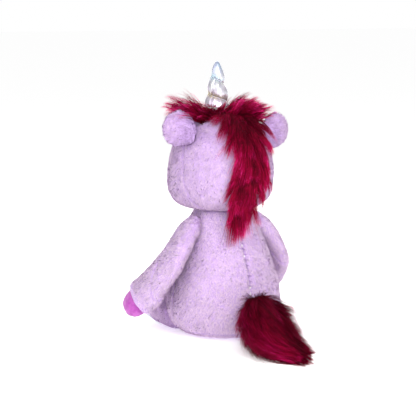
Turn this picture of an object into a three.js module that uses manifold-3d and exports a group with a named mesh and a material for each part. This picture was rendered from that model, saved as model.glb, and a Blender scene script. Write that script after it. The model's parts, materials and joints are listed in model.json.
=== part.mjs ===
// A seated plush unicorn, in millimetres. +Z is up, the toy faces -Y and its left side is +X.
// The origin is the middle of the flat seat panel that it rests on.
// Each sewn part is a cloth shell over its own stuffing. Where a limb turns in soft cloth, the cloth
// beside it is cut back by the limb's own swept shape, as the real one gives way.
import * as THREE from "three";
import { mergeVertices } from "three/addons/utils/BufferGeometryUtils.js";
import Module from "manifold-3d";

const wasm = await Module();
wasm.setup();

// ---- driving dimensions ----
const CLOTH = 2.4; // plush cloth, with its pile
const THIN_CLOTH = 1.6; // hoof, horn and ear lining cloth
const GAP = 0.4; // between pieces that touch
const SEAM = 0.6; // slot between two sewn panels
const ROUND = 24; // points round the torso and the head
const FAR = 400; // beyond the toy in every direction

// Height, half width, half depth and middle in Y.
const TORSO = [
  [0, 41, 43, 0],
  [3, 53, 56, 0],
  [9, 63, 67, 0],
  [18, 70, 74, 0],
  [32, 73, 77, 0],
  [50, 72.5, 77, 0],
  [72, 68.5, 72, -1],
  [95, 61, 64.5, -2],
  [118, 53.5, 56, -3],
  [134, 47, 48, -3],
  [142, 39.5, 40, -3],
  [147, 31, 32, -3],
  [149, 23, 23, -3],
];
const SEAT_RIM = 9; // the seat panel turns up this far at its edge
const SIDE_SEAM_Y = -6; // back panels behind, tummy panel in front
const POUCH = { at: [0, 10, 15], half: [34, 40, 12] }; // of pellets, for weight
const CLOSING = { low: 66, high: 122, stitches: 9, reach: 2.2, r: 0.55 }; // the thread in the back seam
const HEAD = [
  [155, 29, 29, -6],
  [157, 42, 41, -6],
  [161, 53, 52, -7],
  [168, 61.5, 60.5, -8],
  [178, 66.5, 66, -8],
  [191, 68, 68, -8],
  [206, 67, 67.5, -8],
  [222, 65, 66, -8],
  [238, 60, 61, -8],
  [252, 52, 53, -8],
  [264, 40.5, 41, -8],
  [273, 27, 27, -8],
  [279, 12, 12, -8],
];
// Between the back of the head and the face: where it is at one height, and how far it leans back downwards.
const HEAD_SEAM = { y: 7.5, z: 222, lean: 13 };
const MUZZLE = { at: [0, -58, 188], half: [33, 37, 24.5] };
const EYE = { x: 26, z: 219, shank: 2, washer: 8.5, depth: 14 };
const NOSTRIL = { at: [11, -95, 196], half: [4.2, 14, 3] };
const SMILE = { r: 15, width: 1.8, z: 191, from: 0.86, to: 0.14 }; // an arc below its middle, in half turns
const EMBROIDERY = 1.4; // height of the thread above the muzzle

const NECK = new THREE.Vector3(0, -3, 150);
const NECK_WAD_R = 17;
const NECK_HOLE_R = 20;
const NECK_CLEAR = 1;

// The groove winds up the horn once in every pitch; turnedBy is how far up it is shifted at its start.
const HORN = { base: [1, -15, 282.5], length: 56, r: 17, taper: 0.66, pitch: 22, turnedBy: 6.7, bulge: 3.2 };
const HORN_THREAD = { r: 0.55, from: 3, turns: 2, stand: 1.9 }; // stand: how far it lies off the groove

const EARS = { left: { side: 1, root: [41, 15, 257] }, right: { side: -1, root: [41, 13, 250] } };
const EAR_LIFT = 5; // degrees that the ear points upwards
const EAR_SWEEP = -8; // degrees that it points backwards
const EAR = { length: 47, halfWidth: 24, halfThick: 7.5, flex: 20, inset: 3, room: 1.4 };

// Fur pads: how far the scalp is lifted and thickened, and the box that the pad fills.
const FORELOCK = { lift: 9, thick: 10, low: [-33, -40, 258], high: [33, 8, FAR] };
const MANE = { lift: 5, thick: 13, low: [-24, 8.6, 172], high: [24, FAR, FAR] };
MANE.tip = { low: [-16, 57.5, 137], high: [16, 71, 190] };

// A limb's joints are given for the left side; end is the way the cuff faces.
const ARMS = {
  left: {
    side: 1,
    shoulder: [46, 3, 138],
    elbow: [81, 13, 96],
    cuff: [100, -19, 52],
    end: [0.5, -0.58, -0.65],
  },
  right: {
    side: -1,
    shoulder: [46, 2, 138],
    elbow: [80, -9, 96],
    cuff: [92, -58, 54],
    end: [0.12, -0.77, -0.62],
  },
};
const SLEEVE = { root: [17, 14], middle: [26, 14], cuff: [27, 19.5] }; // half width, half thickness
const HAND_HOOF = { reach: 25, half: [20, 15], tuck: 7 };

const LEG = { hip: [49, -32, 23.5], r: 22.5, length: 42, reach: 31, tuck: 6, hoofR: 21.5 };
const LEG_LIFT = [-4, 40];

const TAIL_PIVOT = new THREE.Vector3(0, 81, 46);
const TAIL_TAB = { from: 79.4, to: 88, r: 4 };
const TAIL = [
  // middle, half width, half height
  [[2, 94, 47], 13, 12],
  [[9, 111, 41], 27, 22],
  [[15, 135, 28], 31, 24],
  [[15, 160, 17], 28, 16],
  [[10, 180, 10], 19, 9.5],
  [[4, 197, 6.5], 7, 5],
];

// ---- three.js geometry to manifold-3d solids and back ----
function solid(geometry) {
  const plain = geometry.clone();
  for (const name of Object.keys(plain.attributes)) if (name !== "position") plain.deleteAttribute(name);
  const merged = mergeVertices(plain, 1e-3);
  const triVerts = new Uint32Array(merged.index.array);
  const vertProperties = new Float32Array(merged.attributes.position.array);
  const made = new wasm.Manifold(new wasm.Mesh({ numProp: 3, vertProperties, triVerts }));
  if (made.volume() > 0) return made;
  for (let i = 0; i < triVerts.length; i += 3) {
    [triVerts[i + 1], triVerts[i + 2]] = [triVerts[i + 2], triVerts[i + 1]];
  }
  return new wasm.Manifold(new wasm.Mesh({ numProp: 3, vertProperties, triVerts }));
}

function biggestBody(made) {
  const bodies = made.decompose();
  return bodies.reduce((best, body) => (body.volume() > best.volume() ? body : best));
}

function geometryOf(made) {
  const mesh = made.getMesh();
  const position = new Float32Array(mesh.numVert * 3);
  for (let i = 0; i < mesh.numVert; i++) {
    position.set(mesh.vertProperties.subarray(i * mesh.numProp, i * mesh.numProp + 3), i * 3);
  }
  const geometry = new THREE.BufferGeometry();
  geometry.setAttribute("position", new THREE.BufferAttribute(position, 3));
  geometry.setIndex(new THREE.BufferAttribute(new Uint32Array(mesh.triVerts), 1));
  geometry.computeVertexNormals();
  return geometry;
}

// ---- shape helpers ----
const vec = (p) => new THREE.Vector3(...p);

// A closed surface through rings of points, with a fan over each end.
function loft(rings) {
  const count = rings[0].length;
  const points = rings.flat();
  const middle = (ring) => ring.reduce((sum, p) => sum.add(p), new THREE.Vector3()).divideScalar(count);
  const [first, last] = [points.length, points.length + 1];
  points.push(middle(rings[0]), middle(rings.at(-1)));
  const faces = [];
  for (let j = 0; j < count; j++) {
    const next = (j + 1) % count;
    for (let i = 0; i + 1 < rings.length; i++) {
      const [a, b, c, d] = [i * count + j, i * count + next, (i + 1) * count + next, (i + 1) * count + j];
      faces.push(a, b, c, a, c, d);
    }
    const top = (rings.length - 1) * count;
    faces.push(first, next, j, last, top + j, top + next);
  }
  const geometry = new THREE.BufferGeometry();
  const flat = new Float32Array(points.flatMap((p) => p.toArray()));
  geometry.setAttribute("position", new THREE.BufferAttribute(flat, 3));
  geometry.setIndex(faces);
  return solid(geometry);
}

// An upright body from stations of height, half width, half depth and middle, drawn in by inset all round.
function upright(stations, inset = 0) {
  const [low, high] = [stations[0][0], stations.at(-1)[0]];
  const middle = (low + high) / 2;
  const squeeze = 1 - inset / (high - middle);
  return loft(
    stations.map(([z, halfWidth, halfDepth, y]) =>
      Array.from({ length: ROUND }, (_, k) => {
        const turn = ((k + 0.5) / ROUND) * 2 * Math.PI;
        const across = (halfWidth - inset) * Math.cos(turn);
        const along = y + (halfDepth - inset) * Math.sin(turn);
        return new THREE.Vector3(across, along, middle + (z - middle) * squeeze);
      }),
    ),
  );
}

// Where the front (way -1) or the back (way 1) of an upright body's skin is, at a place across and a height.
function skinY(stations, x, z, way) {
  const above = stations.findIndex((station) => station[0] >= z);
  const share = (z - stations[above - 1][0]) / (stations[above][0] - stations[above - 1][0]);
  const between = stations[above - 1].map((v, i) => THREE.MathUtils.lerp(v, stations[above][i], share));
  const [, halfWidth, halfDepth, y] = between;
  return y + way * halfDepth * Math.sqrt(1 - (x / halfWidth) ** 2);
}

function ellipsoid(at, half, inset = 0) {
  const geometry = new THREE.SphereGeometry(1, 18, 10);
  geometry.scale(...half.map((h) => h - inset)).translate(...at);
  return solid(geometry);
}

const ball = (at, r) => solid(new THREE.SphereGeometry(r, 16, 10).translate(...at));

function block(low, high) {
  const size = high.map((h, i) => h - low[i]);
  const centre = high.map((h, i) => (h + low[i]) / 2);
  return solid(new THREE.BoxGeometry(...size).translate(...centre));
}

// A round bar from one point to another.
function rod(from, to, r, sides = 20) {
  const along = to.clone().sub(from);
  const geometry = new THREE.CylinderGeometry(r, r, along.length(), sides);
  const turn = new THREE.Quaternion().setFromUnitVectors(new THREE.Vector3(0, 1, 0), along.normalize());
  geometry.applyQuaternion(turn);
  geometry.translate(...from.clone().add(to).multiplyScalar(0.5).toArray());
  return solid(geometry);
}

// A limb of oval section along a curve. Half sizes come from a function of the share of its length;
// ends are how far its first and last rings are moved outwards along the curve.
function ovalTube(curve, halfSizes, outward, { steps = 7, sides = 14, inset = 0, ends = [0, 0] } = {}) {
  const rings = [];
  for (let i = 0; i <= steps; i++) {
    const share = i / steps;
    const [wide, thin] = halfSizes(share).map((h) => Math.max(h - inset, 0.6));
    const along = curve.getTangentAt(share);
    const thinWay = outward.clone().addScaledVector(along, -outward.dot(along)).normalize();
    const wideWay = new THREE.Vector3().crossVectors(along, thinWay);
    const centre = curve.getPointAt(share);
    if (i === 0) centre.addScaledVector(along, -ends[0]);
    if (i === steps) centre.addScaledVector(along, ends[1]);
    rings.push(
      Array.from({ length: sides }, (_, k) => {
        const turn = (k / sides) * 2 * Math.PI;
        return centre
          .clone()
          .addScaledVector(wideWay, wide * Math.cos(turn))
          .addScaledVector(thinWay, thin * Math.sin(turn));
      }),
    );
  }
  return loft(rings);
}

const toy = new THREE.Group();
const FINISHES = {
  lavender: { color: 0xcfb2e2, roughness: 0.95, metalness: 0 },
  orchid: { color: 0xc25fc0, roughness: 0.8, metalness: 0 },
  crimson: { color: 0x8e0f3e, roughness: 0.85, metalness: 0 },
  iridescent: { color: 0xdfe6ee, roughness: 0.25, metalness: 0.4 },
  lining: { color: 0xe6c8e6, roughness: 0.9, metalness: 0 },
  fill: { color: 0xf6f5f1, roughness: 1, metalness: 0 },
  pouch: { color: 0xe4dfd2, roughness: 0.9, metalness: 0 },
  thread: { color: 0xa98bc4, roughness: 0.7, metalness: 0 },
  dark: { color: 0x2a1a30, roughness: 0.2, metalness: 0 },
  washer: { color: 0xe8e8ea, roughness: 0.5, metalness: 0 },
  embroidery: { color: 0x8d5aa8, roughness: 0.6, metalness: 0 },
};

function piece(name, made, finish) {
  const material = new THREE.MeshStandardMaterial(FINISHES[finish]);
  const mesh = new THREE.Mesh(geometryOf(biggestBody(made)), material);
  mesh.name = name;
  toy.add(mesh);
}

// ---- limbs, as functions of how far they are shrunk, so that the same shape gives cloth and stuffing ----
const mirrored = (p, side) => vec([p[0] * side, p[1], p[2]]);

function armCurve({ side, shoulder, elbow, cuff, end: way }) {
  const end = mirrored(way, side).normalize();
  const start = mirrored(shoulder, side);
  const into = start.clone().addScaledVector(mirrored(elbow, side).sub(start).normalize(), -13);
  const last = mirrored(cuff, side);
  const beyond = last.clone().addScaledVector(end, 9);
  return new THREE.CatmullRomCurve3([into, start, mirrored(elbow, side), last, beyond]);
}

function sleeveSizes(share) {
  const mix = (a, b, t) => a.map((v, i) => THREE.MathUtils.lerp(v, b[i], t));
  const { root, middle, cuff } = SLEEVE;
  const full = share < 0.5 ? mix(root, middle, share / 0.5) : mix(middle, cuff, (share - 0.5) / 0.5);
  return full.map((v) => (share < 0.05 ? v * 0.6 : v));
}

const outwardOf = (side) => new THREE.Vector3(side, 0, 0.35).normalize();
const sleeve = (arm, inset, ends = [0, 0]) =>
  ovalTube(armCurve(arm), sleeveSizes, outwardOf(arm.side), { inset, ends, steps: 8 });

// A hoof is a short oval bag, closed by a shallow dome. Its rings are drawn in towards its middle.
const HOOF_PROFILE = [[0, 1], [0.45, 1], [0.66, 0.92], [0.82, 0.76], [0.93, 0.52], [1, 0.22]];

function handHoof(arm, inset) {
  const end = mirrored(arm.end, arm.side).normalize();
  const start = armCurve(arm).getPointAt(1).addScaledVector(end, -HAND_HOOF.tuck);
  const half = (HAND_HOOF.tuck + HAND_HOOF.reach) / 2;
  const thinWay = outwardOf(arm.side).addScaledVector(end, -outwardOf(arm.side).dot(end)).normalize();
  const wideWay = new THREE.Vector3().crossVectors(end, thinWay);
  return loft(
    HOOF_PROFILE.map(([share, width]) =>
      Array.from({ length: 14 }, (_, k) => {
        const turn = (k / 14) * 2 * Math.PI;
        const [wide, thin] = HAND_HOOF.half.map((h) => (h - inset) * width);
        return start
          .clone()
          .addScaledVector(end, half + (share * 2 - 1) * (half - inset))
          .addScaledVector(wideWay, wide * Math.cos(turn))
          .addScaledVector(thinWay, thin * Math.sin(turn));
      }),
    ),
  );
}

// A body turned about a limb's axis: distance along from the start, then radius.
function turned(profile, from, along, sides = 18) {
  const outline = profile.map(([up, r]) => new THREE.Vector2(Math.max(r, 0), up));
  const lathe = new THREE.LatheGeometry(outline, sides);
  const turn = new THREE.Quaternion().setFromUnitVectors(new THREE.Vector3(0, 1, 0), along);
  return solid(lathe.applyQuaternion(turn).translate(...from.toArray()));
}

// Points of a dome's profile, from its tip out to its full radius or back.
const dome = (r, points) =>
  Array.from({ length: points }, (_, i) => {
    const angle = (i / points) * (Math.PI / 2);
    return [-r * Math.cos(angle), r * Math.sin(angle)];
  });

const FORWARD = new THREE.Vector3(0, -1, 0);
const hipOf = (side) => mirrored(LEG.hip, side);

// The leg runs straight forward from a round root at the hip.
function legCover(side, inset, length = LEG.length) {
  const r = LEG.r - inset;
  return turned([...dome(r, 5), [0, r], [length / 2, r], [length, r], [length, 0]], hipOf(side), FORWARD);
}

function footHoof(side, inset) {
  const half = (LEG.tuck + LEG.reach) / 2;
  const middle = LEG.length - LEG.tuck + half;
  const r = LEG.hoofR - inset;
  const reach = half - inset;
  const profile = HOOF_PROFILE.map(([share, width]) => [middle + (share * 2 - 1) * reach, width * r]);
  return turned([[profile[0][0], 0], ...profile, [profile.at(-1)[0], 0]], hipOf(side), FORWARD);
}

// Room for a leg at every angle of its lift: each slice across it is a rounded wedge.
function legPocket(side, clear) {
  const r = LEG.r + clear;
  const [low, high] = LEG_LIFT.map((angle) => THREE.MathUtils.degToRad(angle));
  const hip = hipOf(side);
  const reach = 90;
  const rings = [];
  for (let i = 0; i <= 10; i++) {
    const across = -Math.cos((i / 10) * Math.PI) * r * 0.998;
    const half = Math.sqrt(r * r - across * across);
    const at = (angle, ahead, above) => [
      -Math.cos(angle) * ahead + Math.sin(angle) * above,
      Math.sin(angle) * ahead + Math.cos(angle) * above,
    ];
    const outline = [at(low, reach, -half), at(high, reach, half)];
    for (let k = 0; k <= 8; k++) {
      const angle = THREE.MathUtils.lerp(high, low + Math.PI, k / 8);
      outline.push(at(angle, 0, half));
    }
    rings.push(outline.map(([y, z]) => new THREE.Vector3(hip.x + across, hip.y + y, hip.z + z)));
  }
  return loft(rings);
}

// ---- ears: a pillow with a round outline, cupped a little ----
function earFrame({ side, root }) {
  const up = THREE.MathUtils.degToRad(EAR_LIFT);
  const sweep = THREE.MathUtils.degToRad(EAR_SWEEP);
  const level = Math.cos(sweep);
  const along = vec([side * Math.cos(up) * level, Math.sin(sweep), Math.sin(up) * level]);
  const behind = new THREE.Vector3(0, 1, 0).addScaledVector(along, -along.y).normalize();
  const across = new THREE.Vector3().crossVectors(behind, along);
  return { origin: mirrored(root, side), along, across, behind };
}

function earPillow(ear, inset) {
  const { origin, along, across, behind } = earFrame(ear);
  const sides = 18;
  const rings = [];
  const middle = EAR.length / 2 + EAR.inset;
  const layers = [-1, -0.8, 0, 0.8, 1];
  for (const layer of layers) {
    const spread = Math.sqrt(1 - layer * layer * 0.86);
    rings.push(
      Array.from({ length: sides }, (_, k) => {
        const turn = (k / sides) * 2 * Math.PI;
        const narrow = 1 - 0.16 * Math.max(0, -Math.cos(turn));
        const u = middle + (EAR.length / 2 - inset) * Math.cos(turn) * spread;
        const v = (EAR.halfWidth - inset) * Math.sin(turn) * spread * narrow;
        const w = layer * (EAR.halfThick - inset);
        return origin.clone().addScaledVector(along, u).addScaledVector(across, v).addScaledVector(behind, w);
      }),
    );
  }
  return loft(rings);
}

// A slab of space on the back side of the ear's own middle plane.
function behindEar(ear, from) {
  const { origin, along, across, behind } = earFrame(ear);
  const turn = new THREE.Matrix4().makeBasis(along, across, behind).setPosition(origin);
  const slab = new THREE.BoxGeometry(200, 200, 60).translate(0, 0, 30 + from);
  return solid(slab.applyMatrix4(turn));
}

// ---- head ----
const muzzle = (inset) => ellipsoid(MUZZLE.at, MUZZLE.half, inset);
const headSkin = upright(HEAD);
const headRoom = upright(HEAD, CLOTH);
const headWithMuzzle = headSkin.add(muzzle(0));
const neckHole = rod(NECK.clone().setZ(NECK.z - 12), NECK.clone().setZ(NECK.z + 22), NECK_HOLE_R, 24);

// All space behind (way 1) or before (way -1) the seam that goes over the head from side to side.
function besideHeadSeam(way) {
  const space = new THREE.BoxGeometry(2 * FAR, 2 * FAR, 2 * FAR).translate(0, way * (FAR + SEAM / 2), 0);
  space.rotateX(THREE.MathUtils.degToRad(HEAD_SEAM.lean)).translate(0, HEAD_SEAM.y, HEAD_SEAM.z);
  return solid(space);
}
const leftHalf = block([SEAM / 2, -FAR, 0], [FAR, FAR, FAR]);
const rightHalf = block([-FAR, -FAR, 0], [-SEAM / 2, FAR, FAR]);

// Room for both ears at every angle of their bend.
const [earRoomLeft, earRoomRight] = Object.values(EARS).map((ear) => {
  const { origin, across } = earFrame(ear);
  const angles = [-1, -0.5, 0, 0.5, 1].map((share) => THREE.MathUtils.degToRad(EAR.flex * share));
  const toRoot = new THREE.Matrix4().makeTranslation(origin);
  const fromRoot = toRoot.clone().invert();
  return angles
    .map((angle) => new THREE.Matrix4().makeRotationAxis(across, angle))
    .map((turn) => toRoot.clone().multiply(turn).multiply(fromRoot))
    .map((turn) => earPillow(ear, -EAR.room).transform(turn.elements))
    .reduce((all, one) => all.add(one));
});
const earSweep = earRoomLeft.add(earRoomRight);

const eyes = [1, -1].map((side) => {
  const [x, z] = [EYE.x * side, EYE.z];
  const at = new THREE.Vector3(x, skinY(HEAD, x, z, -1), z);
  return { side, at, out: new THREE.Vector3(at.x, at.y - HEAD[7][3], 8).normalize() };
});
const shankHole = ({ at, out }, r) =>
  rod(at.clone().addScaledVector(out, -EYE.depth), at.clone().addScaledVector(out, 3), r, 16);
const shankRoom = EYE.shank + GAP;
const washerRoom = EYE.washer + 0.9;

let headShell = headSkin.subtract(headRoom).subtract(neckHole).subtract(earSweep);
for (const eye of eyes) headShell = headShell.subtract(shankHole(eye, shankRoom));
const faceShell = headShell.subtract(muzzle(-GAP));
const headBack = headShell.intersect(besideHeadSeam(1));
const face = faceShell.intersect(besideHeadSeam(-1));
piece("head_back_left", headBack.intersect(leftHalf), "lavender");
piece("head_back_right", headBack.intersect(rightHalf), "lavender");
piece("face_left", face.intersect(leftHalf), "lavender");
piece("face_right", face.intersect(rightHalf), "lavender");
piece("muzzle_panel", muzzle(0).subtract(muzzle(CLOTH)).subtract(upright(HEAD, -GAP)), "lining");

let headFill = upright(HEAD, CLOTH + GAP).add(muzzle(CLOTH + GAP));
headFill = headFill.subtract(earSweep).subtract(ball(NECK.toArray(), NECK_WAD_R + NECK_CLEAR));
for (const eye of eyes) headFill = headFill.subtract(shankHole(eye, washerRoom));
piece("head_stuffing", headFill, "fill");

// Safety eyes: a domed cap on a shank, held by a washer inside the head.
for (const { side, at, out } of eyes) {
  const name = side > 0 ? "left" : "right";
  const foot = EYE.depth - 3;
  const profile = [
    [0, -foot],
    [EYE.shank, -foot],
    [EYE.shank, 0.7],
    [7.5, 0.7],
    [7.3, 2.2],
    [6, 4.2],
    [3.6, 5.6],
    [0, 6.1],
  ].map(([r, h]) => new THREE.Vector2(r, h));
  const turn = new THREE.Quaternion().setFromUnitVectors(new THREE.Vector3(0, 1, 0), out);
  const cap = new THREE.LatheGeometry(profile, 20).applyQuaternion(turn).translate(...at.toArray());
  piece(`eye_${name}`, solid(cap), "dark");
  const from = at.clone().addScaledVector(out, -CLOTH - 3.6);
  const to = at.clone().addScaledVector(out, -CLOTH - 2);
  const washer = rod(from, to, EYE.washer).subtract(shankHole({ at, out }, shankRoom));
  piece(`eye_washer_${name}`, washer, "washer");
}

// Embroidery lies on the muzzle as a thin pad of thread.
const threadLayer = muzzle(-EMBROIDERY).subtract(muzzle(-GAP));
for (const side of [1, -1]) {
  const nostril = ellipsoid(mirrored(NOSTRIL.at, side).toArray(), NOSTRIL.half);
  piece(side > 0 ? "nostril_left" : "nostril_right", threadLayer.intersect(nostril), "embroidery");
}
const smileShape = new THREE.Shape();
const [smileFrom, smileTo] = [-SMILE.from * Math.PI, -SMILE.to * Math.PI];
smileShape.absarc(0, SMILE.z, SMILE.r + SMILE.width / 2, smileFrom, smileTo, false);
smileShape.absarc(0, SMILE.z, SMILE.r - SMILE.width / 2, smileTo, smileFrom, true);
const smileBar = new THREE.ExtrudeGeometry(smileShape, { depth: 60, bevelEnabled: false, curveSegments: 10 });
const smilePlace = solid(smileBar.rotateX(Math.PI / 2).translate(0, MUZZLE.at[1] + 8, 0));
piece("mouth_stitch", threadLayer.intersect(smilePlace), "embroidery");

// ---- neck ----
piece("neck_wad", ball(NECK.toArray(), NECK_WAD_R), "fill");

// ---- ears ----
for (const [name, ear] of Object.entries(EARS)) {
  const shell = earPillow(ear, 0).subtract(earPillow(ear, THIN_CLOTH));
  const mid = behindEar(ear, SEAM / 2);
  const front = behindEar(ear, -SEAM / 2);
  piece(`ear_${name}_back`, shell.intersect(mid), "lavender");
  piece(`ear_${name}_lining`, shell.subtract(front), "lining");
  piece(`ear_${name}_wadding`, earPillow(ear, THIN_CLOTH + GAP), "fill");
}

// ---- horn: a cone of shiny cloth drawn in by a spiral thread ----
function hornRadius(up, turn, inset) {
  const share = THREE.MathUtils.clamp(up / HORN.length, 0, 1);
  const taper = HORN.r * (1 - HORN.taper * share ** 1.15) * Math.sqrt(Math.max(0, 1 - share ** 7));
  const phase = ((up + HORN.turnedBy) / HORN.pitch + turn / (2 * Math.PI)) % 1;
  const puff = Math.abs(Math.sin(Math.PI * phase));
  return Math.max(taper - HORN.bulge * (1 - puff) * Math.min(1, (1 - share) * 3) - inset, 0.5);
}

function horn(inset) {
  const levels = 15;
  const sides = 16;
  const [x, y, z] = HORN.base;
  return loft(
    Array.from({ length: levels + 1 }, (_, i) => {
      const up = (i / levels) * HORN.length;
      return Array.from({ length: sides }, (_, k) => {
        const turn = (k / sides) * 2 * Math.PI;
        const r = hornRadius(up, turn, inset);
        return new THREE.Vector3(x + r * Math.cos(turn), y + r * Math.sin(turn), z + up);
      });
    }),
  );
}
const hornBase = vec(HORN.base);
const hornSlice = (low, high) => block([-40, -60, hornBase.z + low], [40, 30, hornBase.z + high]);
const overHorn = (rise) => hornBase.clone().setZ(hornBase.z + rise);
const hornMouth = rod(overHorn(-1), overHorn(2), HORN.r - 5);
const hornRoom = horn(THIN_CLOTH).intersect(hornSlice(-1, HORN.length - 5)).add(hornMouth);
piece("horn_cover", horn(0).subtract(hornRoom), "iridescent");
piece("horn_stuffing", horn(THIN_CLOTH + GAP).intersect(hornSlice(0.5, HORN.length - 6)), "fill");

class HornThreadPath extends THREE.Curve {
  getPoint(t) {
    const up = HORN_THREAD.from + t * HORN_THREAD.turns * HORN.pitch;
    const turn = (1 - (((up + HORN.turnedBy) / HORN.pitch) % 1)) * 2 * Math.PI;
    const r = hornRadius(up, turn, 0) + HORN_THREAD.stand;
    const [x, y, z] = HORN.base;
    return new THREE.Vector3(x + r * Math.cos(turn), y + r * Math.sin(turn), z + up);
  }
}
const threadSection = new THREE.Shape().absarc(0, 0, HORN_THREAD.r, 0, 2 * Math.PI, false);
const windingOptions = {
  steps: 40,
  extrudePath: new HornThreadPath(),
  curveSegments: 3,
  bevelEnabled: false,
};
piece("horn_thread", solid(new THREE.ExtrudeGeometry(threadSection, windingOptions)), "thread");

// ---- forelock and mane: long pile cloth on the top and back of the head ----
const scalp = upright(HEAD, -GAP - 0.2);
const furOver = ({ lift, thick }) =>
  upright(HEAD.map(([z, halfWidth, halfDepth, y]) => [z + lift, halfWidth + thick, halfDepth + thick, y]));
const hornClear = rod(overHorn(-22), overHorn(38), HORN.r + 4);
const clearOfHead = (made) => made.subtract(scalp).subtract(hornClear).subtract(earSweep);
piece("forelock", clearOfHead(furOver(FORELOCK).intersect(block(FORELOCK.low, FORELOCK.high))), "crimson");
const maneStrip = furOver(MANE).intersect(block(MANE.low, MANE.high));
piece("mane", clearOfHead(maneStrip.add(block(MANE.tip.low, MANE.tip.high))), "crimson");

// ---- torso ----
// The arm's pocket is turned about the shoulder: radius, then distance out from the middle of the toy.
const ARM_POCKET = [[0, 28], [13, 29], [20, 35], [27, 47], [36, 57], [44, 62.5], [44, 80], [0, 80]];
const armPockets = [1, -1].map((side) => {
  const lathe = new THREE.LatheGeometry(ARM_POCKET.map(([r, x]) => new THREE.Vector2(r, x)), 24);
  return solid(lathe.rotateZ(-side * Math.PI / 2).translate(0, ARMS.left.shoulder[1], ARMS.left.shoulder[2]));
});
const legPockets = [1, -1].map((side) => legPocket(side, 0.9));
const giveWay = (made) => [...armPockets, ...legPockets].reduce((left, sweep) => left.subtract(sweep), made);

const torsoShell = giveWay(upright(TORSO).subtract(upright(TORSO, CLOTH)).subtract(neckHole));
const aboveSeat = SEAT_RIM + SEAM;
const behindSide = SIDE_SEAM_Y + SEAM / 2;
const beforeSide = SIDE_SEAM_Y - SEAM / 2;
const torsoBack = torsoShell.intersect(block([-FAR, behindSide, aboveSeat], [FAR, FAR, FAR]));
const tummy = torsoShell.intersect(block([-FAR, -FAR, aboveSeat], [FAR, beforeSide, FAR]));
piece("torso_back_left", torsoBack.intersect(leftHalf), "lavender");
piece("torso_back_right", torsoBack.intersect(rightHalf), "lavender");
piece("torso_tummy", tummy, "lavender");
piece("seat_panel", torsoShell.intersect(block([-FAR, -FAR, -1], [FAR, FAR, SEAT_RIM])), "lavender");

const torsoFill = giveWay(upright(TORSO, CLOTH + GAP))
  .subtract(ball(NECK.toArray(), NECK_WAD_R + NECK_CLEAR))
  .subtract(ellipsoid(POUCH.at, POUCH.half, -GAP));
piece("torso_stuffing", torsoFill, "fill");
piece("pellet_pouch", ellipsoid(POUCH.at, POUCH.half), "pouch");

// The opening in the middle of the back, closed by hand with a thread that crosses from side to side.
const stitchPoints = Array.from({ length: CLOSING.stitches * 2 + 1 }, (_, i) => {
  const z = THREE.MathUtils.lerp(CLOSING.low, CLOSING.high, i / (CLOSING.stitches * 2));
  return new THREE.Vector3((i % 2 ? 1 : -1) * CLOSING.reach, skinY(TORSO, 0, z, 1) + 1.1, z);
});
const stitchPath = new THREE.CatmullRomCurve3(stitchPoints, false, "centripetal");
const stitchSection = new THREE.Shape().absarc(0, 0, CLOSING.r, 0, 2 * Math.PI, false);
const stitchOptions = { steps: 40, extrudePath: stitchPath, curveSegments: 3, bevelEnabled: false };
piece("closing_thread", solid(new THREE.ExtrudeGeometry(stitchSection, stitchOptions)), "thread");

// ---- arms ----
for (const [name, arm] of Object.entries(ARMS)) {
  const hoofWay = handHoof(arm, -GAP);
  const inside = sleeve(arm, CLOTH, [-CLOTH, 1]).add(hoofWay);
  piece(`arm_${name}_sleeve`, sleeve(arm, 0).subtract(inside), "lavender");
  piece(`arm_${name}_stuffing`, sleeve(arm, CLOTH + GAP, [-CLOTH - GAP, -1]).subtract(hoofWay), "fill");
  const outwards = mirrored(arm.end, arm.side).normalize();
  const mouth = armCurve(arm).getPointAt(1).addScaledVector(outwards, -HAND_HOOF.tuck);
  const hoof = handHoof(arm, 0).subtract(handHoof(arm, THIN_CLOTH)).subtract(ball(mouth.toArray(), 8));
  piece(`arm_${name}_hoof`, hoof, "orchid");
  piece(`arm_${name}_hoof_stuffing`, handHoof(arm, THIN_CLOTH + GAP), "fill");
}

// ---- legs ----
for (const side of [1, -1]) {
  const name = side > 0 ? "left" : "right";
  const hip = hipOf(side);
  const ankle = hip.clone().addScaledVector(FORWARD, LEG.length);
  const hipHole = rod(hip, hip.clone().add(vec([-30 * side, 30, 0])), 9, 12);
  const [behind, before] = [LEG.tuck + 2, -2].map((shift) => ankle.clone().setY(ankle.y + shift));
  const openAnkle = rod(behind, before, LEG.hoofR + GAP, 18);
  const cover = legCover(side, 0).subtract(legCover(side, CLOTH)).subtract(hipHole).subtract(openAnkle);
  piece(`leg_${name}_cover`, cover, "lavender");
  const fill = legCover(side, CLOTH + GAP, LEG.length - LEG.tuck - GAP);
  piece(`leg_${name}_stuffing`, fill, "fill");
  const mouthCut = rod(ankle, ankle.clone().setY(ankle.y + 2 * LEG.tuck), 12, 16);
  const lining = footHoof(side, THIN_CLOTH).add(mouthCut);
  piece(`leg_${name}_hoof`, footHoof(side, 0).subtract(lining), "iridescent");
  piece(`leg_${name}_hoof_stuffing`, footHoof(side, THIN_CLOTH + GAP), "fill");
}

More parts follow.
